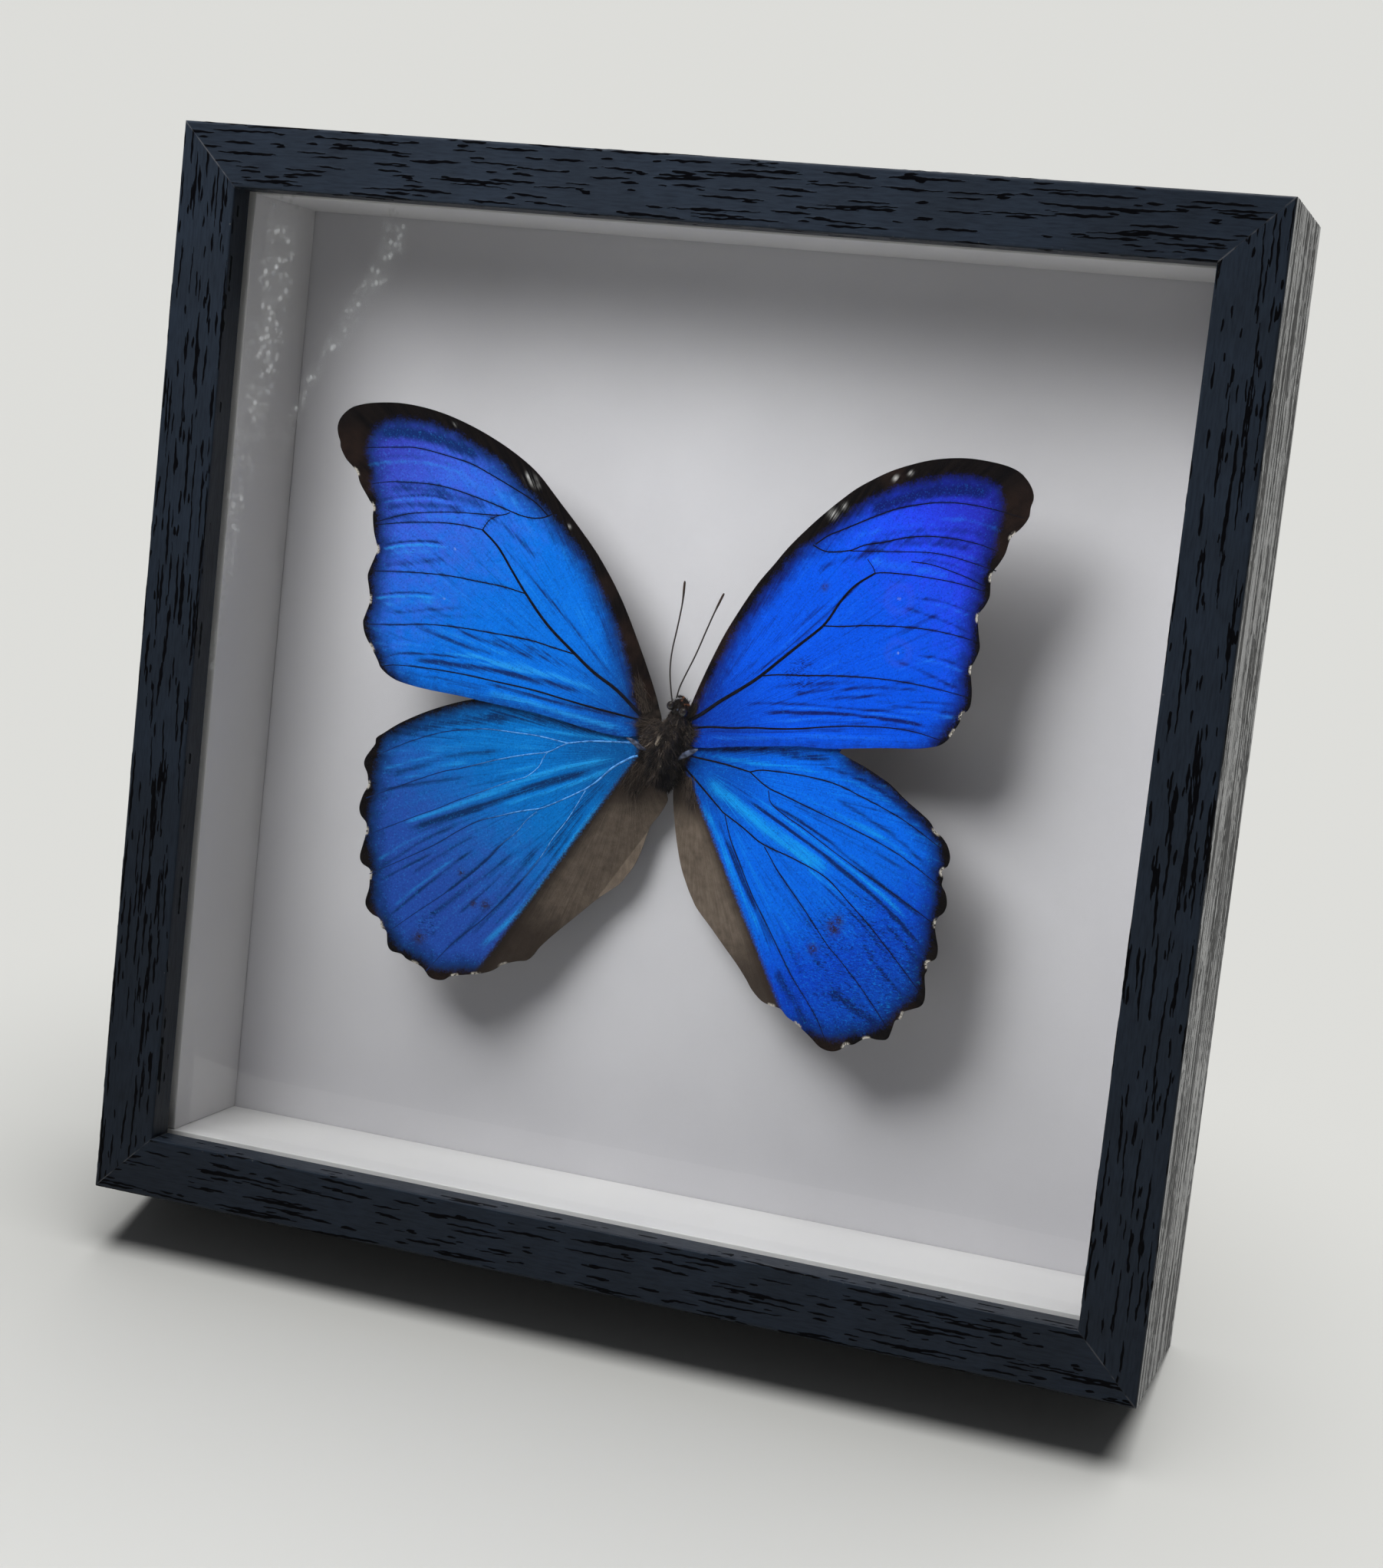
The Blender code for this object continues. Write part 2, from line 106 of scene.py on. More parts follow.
def closedFaces(rows, columns):
    # the faces of a grid closed round, whose ends fan in to the two points that follow the grid
    ring = np.arange(columns)
    ahead = (ring + 1) % columns
    tip, last = rows * columns, (rows - 1) * columns
    first = np.stack((0 * ring + tip, ahead, ring), 1)
    final = np.stack((0 * ring + tip + 1, last + ring, last + ahead), 1)
    return [first, final, gridFaces(rows, columns, closeColumns=True)]


def quarterTurn(points, quarters):
    # turned about Y by right angles: the bottom side of the case to its left, top and right
    c, s = round(math.cos(quarters * math.pi / 2)), round(math.sin(quarters * math.pi / 2))
    x, y, z = points.T
    return np.stack((x * c + z * s, y, z * c - x * s), 1)


def unitRows(rows):
    # each row divided by its own length
    return rows / np.linalg.norm(rows, axis=1)[:, None]


def makePiece(name, points, faces, finishes, slot, body="frame", replaced=(), marks=None, **more):
    # one mesh in the frame's metres: faces point out, marks are numbers kept at each point
    mesh = bpy.data.meshes.new(name)
    lists = [face for group in faces for face in np.asarray(group).tolist()]
    mesh.from_pydata(leanBack(points).tolist(), [], lists)
    for finish in finishes:
        mesh.materials.append(finish)
    if "finishOf" in more:
        mesh.polygons.foreach_set("material_index", np.asarray(more["finishOf"], np.int32))
    for mark, values in (marks or {}).items():
        layer = mesh.attributes.new(mark, "FLOAT", "POINT")
        layer.data.foreach_set("value", np.asarray(values, np.float32))
    work = bmesh.new()
    work.from_mesh(mesh)
    bmesh.ops.recalc_face_normals(work, faces=work.faces)
    work.to_mesh(mesh)
    work.free()
    if more.get("smooth", True):
        mesh.shade_smooth()
        mesh.set_sharp_from_angle(angle=math.radians(more.get("sharp", 50)))
    made = bpy.data.objects.new(name, mesh)
    bpy.context.scene.collection.objects.link(made)
    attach(made, body)
    if replaced:
        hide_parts(*replaced)
    return made


def node(tree, kind, inputs=None, **settings):
    # adds a node; each input is a number, a colour or another node's output
    made = tree.nodes.new(kind)
    for key, value in settings.items():
        setattr(made, key, value)
    for key, value in (inputs or {}).items():
        if isinstance(value, bpy.types.NodeSocket):
            tree.links.new(value, made.inputs[key])
        else:
            made.inputs[key].default_value = value
    return made


def newFinish(name, **shaderValues):
    # an empty material with its Principled shader; spaces in socket names are written as _
    made = bpy.data.materials.new(name)
    made.use_nodes = True
    tree = made.node_tree
    shader = tree.nodes["Principled BSDF"]
    for key, value in shaderValues.items():
        shader.inputs[key.replace("_", " ")].default_value = value
    return made, tree, shader


def casePlace(tree, scale=(1, 1, 1)):
    # Object coordinates turned upright with the case, in millimetres times scale
    where = node(tree, "ShaderNodeTexCoord").outputs["Object"]
    upright = node(tree, "ShaderNodeMapping", {
        "Vector": where, "Rotation": (math.radians(case["lean"]), 0, 0), "Scale": (1000,) * 3
    }).outputs["Vector"]
    return node(tree, "ShaderNodeMapping", {"Vector": upright, "Scale": scale}).outputs["Vector"]


def noise(tree, where, scale, detail=2.0, roughness=0.5, distortion=0.0):
    # fractal noise about 0.5; scale is waves per millimetre
    made = node(tree, "ShaderNodeTexNoise", {
        "Vector": where, "Scale": scale, "Detail": detail,
        "Roughness": roughness, "Distortion": distortion,
    })
    return made.outputs["Fac"]


def mark(tree, name):
    # a number that makePiece keeps at each point
    return node(tree, "ShaderNodeAttribute", attribute_name=name).outputs["Fac"]


def maths(tree, operation, first, second=0.5, third=0.5):
    # one sum on numbers or sockets, such as first x second + third for MULTIPLY_ADD
    made = node(tree, "ShaderNodeMath", operation=operation)
    for socket, value in zip(made.inputs, (first, second, third)):
        if isinstance(value, bpy.types.NodeSocket):
            tree.links.new(value, socket)
        else:
            socket.default_value = value
    return made.outputs[0]


def between(tree, value, low, high, outLow=0.0, outHigh=1.0):
    # a smooth step of a value from low..high to outLow..outHigh
    made = node(tree, "ShaderNodeMapRange", {
        "Value": value, "From Min": low, "From Max": high, "To Min": outLow, "To Max": outHigh
    }, interpolation_type="SMOOTHSTEP")
    return made.outputs["Result"]


def blendColour(tree, share, first, second):
    # first x (1 - share) + second x share; a colour is three numbers or a socket
    made = node(tree, "ShaderNodeMix", data_type="RGBA")
    for key, value in ((0, share), (6, first), (7, second)):
        if isinstance(value, bpy.types.NodeSocket):
            tree.links.new(value, made.inputs[key])
        elif key == 0:
            made.inputs[key].default_value = value
        else:
            made.inputs[key].default_value = (*value, 1)
    return made.outputs[2]


def addBump(tree, shader, height, depth):
    # tilts the shading by a pattern of 0 to 1, whose real depth is in millimetres
    made = node(tree, "ShaderNodeBump", {"Height": height, "Distance": depth * 0.001})
    tree.links.new(made.outputs["Normal"], shader.inputs["Normal"])


view = {
    "place": (169.4, -481.3, 50.9),  # in the upright case's millimetres
    "target": (11.6, 0.0, -7.7),
    "roll": 0.23,
    "lens": 59.94,
    "sensor": 36,
    "clip": (0.01, 50),  # metres
}
studio = {
    "floor": (0.60, 0.603, 0.588),
    "floorReach": 12,  # metres to each side and behind
    "floorNear": -8,  # metres before the case
    "sky": (0.93, 0.95, 1.0),
    "skyLow": 0.06,  # strength at the horizon and straight up
    "skyHigh": 0.08,
    "overhead": 3.75,  # wide soft light from above and a little behind
    "overheadColour": (1.0, 0.995, 0.98),
    "overheadTurn": (-15, 5, 0),
    "overheadSpread": 48,
    "keyPlace": (-120, -210, 280),  # soft light before the top left of the case
    "keyAim": (5, 30, 62),
    "keySize": 0.30,  # metres across
    "keyBeam": 66,  # degrees
    "keyPower": 0.60,
}


def buildCamera():
    # stands at the view's place, looks at its target and is rolled about that line
    made = bpy.data.cameras.new("camera")
    made.sensor_width = view["sensor"]
    made.lens = view["lens"]
    made.clip_start, made.clip_end = view["clip"]
    camera = bpy.data.objects.new("camera", made)
    bpy.context.scene.collection.objects.link(camera)
    place, target = leanBack([view["place"], view["target"]])
    camera.location = place
    aim = Vector(target - place)
    turn = aim.to_track_quat("-Z", "Y")
    camera.rotation_mode = "QUATERNION"
    camera.rotation_quaternion = turn @ Quaternion((0, 0, 1), math.radians(view["roll"]))
    bpy.context.scene.camera = camera
    bpy.context.scene.view_settings.view_transform = "Standard"


def buildStudio():
    # a plain pale floor, a faint even sky, a wide overhead light and a soft key at the upper left
    finish, tree, shader = newFinish("floor_paper", Roughness=0.9)
    shader.inputs["Base Color"].default_value = (*studio["floor"], 1)
    shader.inputs["Specular IOR Level"].default_value = 0.1
    mesh = bpy.data.meshes.new("floor")
    reach, near = studio["floorReach"], studio["floorNear"]
    corners = [(-reach, near, 0), (reach, near, 0), (reach, reach, 0), (-reach, reach, 0)]
    mesh.from_pydata(corners, [], [(0, 1, 2, 3)])
    mesh.materials.append(finish)
    floor = bpy.data.objects.new("floor", mesh)
    bpy.context.scene.collection.objects.link(floor)

    world = bpy.data.worlds.new("studio")
    world.use_nodes = True
    tree = world.node_tree
    upward = node(tree, "ShaderNodeTexCoord").outputs["Generated"]
    height = node(tree, "ShaderNodeSeparateXYZ", {0: upward})
    back = tree.nodes["Background"]
    back.inputs["Color"].default_value = (*studio["sky"], 1)
    strength = between(tree, height.outputs["Z"], 0.1, 0.95, studio["skyLow"], studio["skyHigh"])
    tree.links.new(strength, back.inputs["Strength"])
    bpy.context.scene.world = world

    overhead = bpy.data.lights.new("overhead", "SUN")
    overhead.energy = studio["overhead"]
    overhead.angle = math.radians(studio["overheadSpread"])
    overhead.color = studio["overheadColour"]
    made = bpy.data.objects.new("overhead", overhead)
    made.rotation_euler = [math.radians(a) for a in studio["overheadTurn"]]
    bpy.context.scene.collection.objects.link(made)

    key = bpy.data.lights.new("key", "AREA")
    key.shape = "DISK"
    key.size = studio["keySize"]
    key.energy = studio["keyPower"]
    key.spread = math.radians(studio["keyBeam"])
    place, target = leanBack([studio["keyPlace"], studio["keyAim"]])
    made = bpy.data.objects.new("key", key)
    made.location = place
    made.rotation_euler = Vector(target - place).to_track_quat("-Z", "Y").to_euler()
    made.visible_camera = False
    made.visible_glossy = False
    bpy.context.scene.collection.objects.link(made)
    # the key light falls on the case only, so the floor before it keeps its deep shadow
    spared = bpy.data.collections.new("unlit_by_key")
    spared.objects.link(floor)
    spared.collection_objects[0].light_linking.link_state = "EXCLUDE"
    made.light_linking.receiver_collection = spared


buildCamera()
buildStudio()
print("studio ready")


foil = {
    "slate": (0.0115, 0.0165, 0.0250),
    "slateCloud": (0.0100, 0.0138, 0.0200),
    "grainLine": (0.003, 0.004, 0.007),
    "pore": (0.0002, 0.0003, 0.0008),
    "paleSpeck": (0.16, 0.155, 0.14),
    # painted highlight along the mitres
    "mitreGlint": (0.12, 0.12, 0.125),
    "gloss": 0.14,
    "roughness": (0.36, 0.46),  # smallest and largest on the face
    "sideGloss": 0.95,
    "sideRoughness": (0.12, 0.24),
    "poreDepth": 0.07,
    "frontPores": 330,
    "sidePores": 520,
    "mitreGap": 0.05,
    "outerRound": 0.55,
    "innerRound": 0.4,
    "faceRound": 0.5,  # the side's own foil starts this far round the outer arris
    "stations": 330,  # sections along each rail
    "grain": {"level": (0.25, 2.2, 2.2), "upright": (2.2, 2.2, 0.25)},
    "seed": 7,
}


def railProfile():
    # across (from the rail's outside) and depth round the section, with the foil's own width v
    # measured round it from the front outer arris: an L whose front arrises are quarter rounds
    face, lip, wall, depth = (case[key] for key in ("face", "lip", "wall", "depth"))
    outerRound, innerRound = foil["outerRound"], foil["innerRound"]
    turn = np.linspace(0, math.pi / 2, 6)[1:-1]
    side = np.linspace(depth, outerRound, 104)
    front = np.linspace(outerRound, face - innerRound, 62)
    outerArc = (outerRound - outerRound * np.cos(turn), outerRound - outerRound * np.sin(turn))
    innerArc = (face - innerRound + innerRound * np.sin(turn), innerRound - innerRound * np.cos(turn))
    lipDown = np.linspace(innerRound, lip, 8)
    shelf = np.linspace(face, wall, 4)[1:]
    inner = np.linspace(lip, depth, 9)[1:]
    rear = np.linspace(wall, 0, 7)[1:-1]
    across = np.concatenate(
        (0 * side, outerArc[0], front, innerArc[0], 0 * lipDown + face, shelf, 0 * inner + wall, rear)
    )
    deep = np.concatenate(
        (side, outerArc[1], 0 * front, innerArc[1], lipDown, 0 * shelf + lip, inner, 0 * rear + depth)
    )
    ring = np.stack((across, deep), 1)
    run = np.concatenate(([0], np.cumsum(np.linalg.norm(np.diff(ring, axis=0), axis=1))))
    v = run - run[len(side) - 1]
    return ring, v


def poreField(x, v, rng):
    # wood pores pressed in the foil: each is a thin wandering dash whose width falls to nothing
    # at both ends; the field is 1 on a pore's middle line, 0 at its edge and -1 well outside
    field = np.full(x.shape, -1.0)
    face = case["face"]
    front, sides = foil["frontPores"], foil["sidePores"]
    count = front + sides
    onFront = np.arange(count) < front
    x0 = rng.uniform(-half, half, count)
    v0 = np.where(onFront, rng.uniform(0, face + 4, count), rng.uniform(-case["depth"], 0, count))
    length = np.where(onFront, 2.2 + 15 * rng.random(count) ** 2.6, 8 + 60 * rng.random(count) ** 1.5)
    width = np.where(onFront, rng.uniform(0.17, 0.36, count), rng.uniform(0.16, 0.42, count))
    sway = rng.uniform(0, 0.35, count)
    wave = rng.uniform(10, 30, count)
    phase = rng.uniform(0, math.tau, count)
    for i in range(count):
        rows = np.abs(v - v0[i]) < 1.4
        xs = x[rows]
        t = (xs - x0[i]) / (length[i] / 2)
        middle = v0[i] + sway[i] * np.sin(xs / wave[i] * math.tau / 2 + phase[i])
        middle = middle + 0.06 * np.sin(xs * 2.1 + phase[i])
        ragged = 0.82 + 0.25 * np.sin(xs * 1.3 + 2 * phase[i]) * np.sin(xs * 0.47 + phase[i])
        room = width[i] * ragged * np.sqrt(np.clip(1 - t * t, 0, 1)) + 1e-4
        found = np.clip(1 - np.abs(v[rows] - middle) / room, -1, 1)
        found = np.where(np.abs(t) < 1, found, -1)
        field[rows] = np.maximum(field[rows], found)
    return field


def foilFinish(name, grainScale, gloss, roughness):
    # slate foil with black pores, rubbed pale in specks along its arrises, and a painted highlight in
    # patches along the mitres
    finish, tree, shader = newFinish(name, Specular_IOR_Level=gloss)
    where = casePlace(tree)
    grain = casePlace(tree, grainScale)
    pore = between(tree, mark(tree, "pore"), -0.12, 0.22)
    cloud = noise(tree, where, 0.06, 3)
    fibre = noise(tree, grain, 1.0, 4, 0.6)
    slate = blendColour(tree, between(tree, cloud, 0.3, 0.7), foil["slate"], foil["slateCloud"])
    slate = blendColour(tree, between(tree, fibre, 0.35, 0.75, 0, 0.5), slate, foil["grainLine"])
    colour = blendColour(tree, pore, slate, foil["pore"])
    speck = noise(tree, where, 1.1, 4, 0.7)
    worn = maths(tree, "MULTIPLY", mark(tree, "arris"), between(tree, speck, 0.62, 0.7))
    colour = blendColour(tree, maths(tree, "MULTIPLY", worn, 0.35), colour, foil["paleSpeck"])
    # painted highlight along each mitre, broken into patches
    mitreGlint = between(tree, mark(tree, "mitre"), 0.17, 0.08)
    patch = between(tree, noise(tree, where, 0.35, 2), 0.42, 0.6, 0.12, 1)
    mitreGlint = maths(tree, "MULTIPLY", mitreGlint, patch)
    colour = blendColour(tree, maths(tree, "MULTIPLY", mitreGlint, 0.3), colour, foil["mitreGlint"])
    tree.links.new(colour, shader.inputs["Base Color"])
    rough = between(tree, fibre, 0.3, 0.7, *roughness)
    rough = maths(tree, "MULTIPLY_ADD", pore, 0.5, rough)
    tree.links.new(rough, shader.inputs["Roughness"])
    fine = maths(tree, "ADD", fibre, maths(tree, "MULTIPLY", noise(tree, where, 5, 2), 0.4))
    addBump(tree, shader, fine, 0.03)
    return finish


def buildRail(side, turn, finishes):
    # the section is carried between its two mitres and pressed in where the foil has pores;
    # it is made as the bottom rail and turned about Y into its place
    ring, v = railProfile()
    stations = foil["stations"]
    share = np.linspace(-1, 1, stations)[:, None]
    reach = half - ring[None, :, 0] - foil["mitreGap"] / 2
    x = share * reach
    v = np.broadcast_to(v[None, :], x.shape)
    rng = np.random.default_rng(foil["seed"] + turn)
    field = poreField(x, v, rng)
    chord = np.roll(ring, -1, 0) - np.roll(ring, 1, 0)
    normal = unitRows(np.stack((chord[:, 1], -chord[:, 0]), 1))
    inward = smoothStep(0, 0.6, field) * foil["poreDepth"]
    streak = 0.05 * np.sin(v * 4.1 + 0.8 * np.sin(x / 23)) * smoothStep(0.2, -0.6, v)
    low, high = -case["depth"], case["face"] + case["lip"]
    inward = (inward + streak * smoothStep(0.0, 1.5, -v)) * smoothStep(low, low + 1, v)
    inward = inward * smoothStep(high, high - 1, v)
    across = ring[None, :, 0] + normal[None, :, 0] * inward
    deep = ring[None, :, 1] + normal[None, :, 1] * inward
    points = np.stack((x, deep, across - half), -1).reshape(-1, 3)
    columns = ring.shape[0]
    quads = gridFaces(stations, columns, closeColumns=True)
    ends = [list(range(columns)), list(range((stations - 1) * columns, stations * columns))]
    onSide = v[0] < -foil["faceRound"]
    finishOf = np.concatenate((np.tile(onSide, stations - 1), (False, False))).astype(np.int32)
    arris = np.maximum(smoothStep(0.5, 0, np.abs(v)), smoothStep(0.5, 0, np.abs(v - case["face"])))
    mitre = (reach - np.abs(x)) * math.sqrt(0.5)
    makePiece(
        f"foil_rail_{side}", quarterTurn(points, turn), (quads, ends), finishes, "rail_foil",
        replaced=[f"rail_{side}"], sharp=60,
        marks={"pore": field.ravel(), "arris": arris.ravel(), "mitre": mitre.ravel()},
        finishOf=finishOf,
    )


def buildRails():
    # four rails; the grain of the foil runs along each, so level and upright ones differ
    finishes = []
    for name, scale in foil["grain"].items():
        face = foilFinish(f"foil_{name}", scale, foil["gloss"], foil["roughness"])
        sides = foilFinish(f"foil_{name}_side", scale, foil["sideGloss"], foil["sideRoughness"])
        finishes.append((face, sides))
    for turn, side in enumerate(("bottom", "left", "top", "right")):
        buildRail(side, turn, finishes[turn % 2])


buildRails()
print("rails ready")


def easedBox(low, high, ease, counts):
    # a box with rounded arrises: each point of the six gridded faces is pulled into the box that
    # is smaller by ease, then pushed out by ease along what is left over
    low, high = np.array(low, float), np.array(high, float)
    points, faces, start = [], [], 0
    for axis in range(3):
        u, w = [a for a in range(3) if a != axis]
        for end in (low, high):
            steps = []
            for a in (u, w):
                inner = np.linspace(low[a] + ease, high[a] - ease, counts[a] + 1)
                edge = ease * np.array([0, 0.29, 0.62])
                steps.append(np.concatenate((low[a] + edge, inner, high[a] - edge[::-1])))
            grid = np.empty((len(steps[0]), len(steps[1]), 3))
            grid[..., u], grid[..., w] = np.meshgrid(steps[0], steps[1], indexing="ij")
            grid[..., axis] = end[axis]
            points.append(grid.reshape(-1, 3))
            faces.append(gridFaces(len(steps[0]), len(steps[1]), start=start))
            start += points[-1].shape[0]
    points = np.concatenate(points)
    core = np.clip(points, low + ease, high - ease)
    out = points - core
    points = core + ease * out / np.linalg.norm(out, axis=1)[:, None]
    return mergeDoubles(points, np.concatenate(faces))


def mergeDoubles(points, faces, near=1e-4):
    # points that fall together become one, so a shape made of patches is closed
    keys = np.round(points / near).astype(np.int64)
    _, first, back = np.unique(keys, axis=0, return_index=True, return_inverse=True)
    return points[first], back.reshape(-1)[faces]


inside = {
    "gap": 0.3,  # between neighbouring pieces
    "paneThick": 2,
    "paneEase": 0.2,
    "spacerThick": 3.6,
    "spacerRear": 35.95,
    "spacerEase": 0.25,
    "cardFront": 36.1,
    "cardRear": 38.3,
    "spacerColours": ((0.62, 0.61, 0.61), (0.59, 0.58, 0.585)),
    "cardColours": ((0.53, 0.52, 0.545), (0.505, 0.495, 0.52)),
    "fleck": (0.08, 0.07, 0.06),
    "clear": (0.985, 0.99, 0.987, 1),
    "mottle": (0.75, 0.78, 0.78, 1),
}
clearHalf = half - case["wall"] - inside["gap"]  # half the width within the rails


def boardFinish(name, colours, roughness, fleck=0.0):
    # painted or papered board: faint cloud, fine paper tooth and a few dark flecks
    finish, tree, shader = newFinish(name, Roughness=roughness)
    where = casePlace(tree)
    cloud = between(tree, noise(tree, where, 0.03, 3), 0.3, 0.7)
    tooth = noise(tree, where, 3.5, 4, 0.65)
    base = blendColour(tree, cloud, *colours)
    dull = tuple(0.8 * c for c in colours[1])
    base = blendColour(tree, between(tree, tooth, 0.3, 0.75, 0, 0.12), base, dull)
    if fleck:
        spots = node(tree, "ShaderNodeTexVoronoi", {"Vector": where, "Scale": 0.05})
        spot = between(tree, spots.outputs["Distance"], 0.016, 0.008)
        base = blendColour(tree, maths(tree, "MULTIPLY", spot, fleck), base, inside["fleck"])
    tree.links.new(base, shader.inputs["Base Color"])
    shader.inputs["Specular IOR Level"].default_value = 0.3
    addBump(tree, shader, tooth, 0.02)
    return finish


mottles = {
    # across and up at the top end, across and up at the low end, half width there, share of mottle
    "left": ((-92, 99), (-101, -40), 5.5, 0.24),
    "right": ((-66, 97), (-87, 40), 4.0, 0.20),
}


def mottling(tree):
    # share of pale mottle on the front of the pane: along each line, whose half width
    # narrows downwards, a band that is broken up into small spots
    where = casePlace(tree)
    x, y, z = node(tree, "ShaderNodeSeparateXYZ", {0: where}).outputs
    start = leanBack([0, 0, 0]) * 1000
    c, s = math.cos(math.radians(case["lean"])), math.sin(math.radians(case["lean"]))
    y = maths(tree, "SUBTRACT", y, start[1] * c - start[2] * s)
    z = maths(tree, "SUBTRACT", z, start[1] * s + start[2] * c)
    cells = node(tree, "ShaderNodeTexVoronoi", {
        "Vector": casePlace(tree, (1, 0, 0.8)), "Scale": 0.75
    })
    drops = between(tree, cells.outputs["Distance"], 0.58, 0.08, 0.12, 1)
    clots = between(tree, noise(tree, where, 0.28, 4, 0.7), 0.36, 0.66, 0.1, 1)
    total = 0.0
    for (topX, topZ), (lowX, lowZ), wide, mottle in mottles.values():
        up = between(tree, z, lowZ, topZ)
        middle = maths(tree, "MULTIPLY_ADD", maths(tree, "POWER", up, 1.4), topX - lowX, lowX)
        away = maths(tree, "ABSOLUTE", maths(tree, "SUBTRACT", x, middle))
        reach = maths(tree, "MULTIPLY_ADD", up, 0.7 * wide, 0.3 * wide)
        band = between(tree, maths(tree, "DIVIDE", away, reach), 1.0, 0.2, 0, mottle)
        band = maths(tree, "MULTIPLY", band, between(tree, z, lowZ, lowZ + 25))
        total = maths(tree, "ADD", total, band)
    total = maths(tree, "MULTIPLY", total, maths(tree, "MULTIPLY", drops, clots))
    return maths(tree, "MULTIPLY", total, between(tree, y, case["lip"] + 1.5, case["lip"] + 0.6))


def glassFinish():
    # a clear pane that mirrors 0.04 + 0.96 facing^5 of the light, with pale mottled streaks on its front
    finish = bpy.data.materials.new("pane_glass")
    finish.use_nodes = True
    tree = finish.node_tree
    tree.nodes.clear()
    clear = node(tree, "ShaderNodeBsdfTransparent", {"Color": inside["clear"]})
    gloss = node(tree, "ShaderNodeBsdfGlossy", {"Roughness": 0.01})
    facing = node(tree, "ShaderNodeLayerWeight", {"Blend": 0.5}).outputs["Facing"]
    share = maths(tree, "MULTIPLY_ADD", maths(tree, "POWER", facing, 5.0), 0.96, 0.04)
    mix = node(tree, "ShaderNodeMixShader", {0: share, 1: clear.outputs[0], 2: gloss.outputs[0]})
    mottle = node(tree, "ShaderNodeBsdfDiffuse", {"Color": inside["mottle"]})
    mix = node(tree, "ShaderNodeMixShader", {0: mottling(tree), 1: mix.outputs[0], 2: mottle.outputs[0]})
    out = node(tree, "ShaderNodeOutputMaterial")
    tree.links.new(mix.outputs[0], out.inputs["Surface"])
    return finish


def buildInside():
    # the pane behind the lip, a spacer strip along each wall, each butting on the next, and the card
    back = case["lip"] + inside["gap"]
    low = (-clearHalf, back, -clearHalf)
    high = (clearHalf, back + inside["paneThick"], clearHalf)
    points, faces = easedBox(low, high, inside["paneEase"], (8, 1, 8))
    makePiece("glass_pane", points, (faces,), [glassFinish()], "pane", replaced=["glass"], sharp=30)

    white = boardFinish("spacer_board", inside["spacerColours"], 0.5)
    thick = inside["spacerThick"]
    low = (-clearHalf, back + inside["paneThick"] + inside["gap"], -clearHalf)
    high = (clearHalf - thick - 0.05, inside["spacerRear"], -clearHalf + thick)
    for turn, side in enumerate(("bottom", "left", "top", "right")):
        points, faces = easedBox(low, high, inside["spacerEase"], (30, 6, 2))
        makePiece(
            f"spacer_strip_{side}", quarterTurn(points, turn), (faces,), [white], "spacer",
            replaced=[f"spacer_{side}"],
        )

    card = boardFinish("card_paper", inside["cardColours"], 0.75, 0.8)
    low = (-clearHalf, inside["cardFront"], -clearHalf)
    high = (clearHalf, inside["cardRear"], clearHalf)
    points, faces = easedBox(low, high, inside["paneEase"], (60, 1, 60))
    makePiece("card_sheet", points, (faces,), [card], "card", replaced=["mount_card"])


buildInside()
print("glass and boards ready")

# Points are (x, z) on the upright case. A crease is (tone, half width, points): its tone above 0
# is a fold that stands forward and is painted lighter as a highlight, below 0 one that lies back
# and is painted darker as shade. A vein is (radius at the base, radius at the tip, points).
wing = {
    "rays": 600,
    "rings": 118,
    "backRings": 12,
    "thick": 0.14,
    "bodyX": -3.0,
    "veinGirth": 1.25,
    "widestRelief": 0.6,
    "rearDrop": 0.24,  # the underside lies this much further back, but not at the rim
    "creaseRelief": 0.2,  # height of a crease against its width, at tone 1
    "foreLevel": 25.2,  # behind the front face at the body
    "hindLevel": 26.2,
    "rise": 0.13,  # the wings come forward by this share of their way out
    "lobeTurn": 0.55,
}

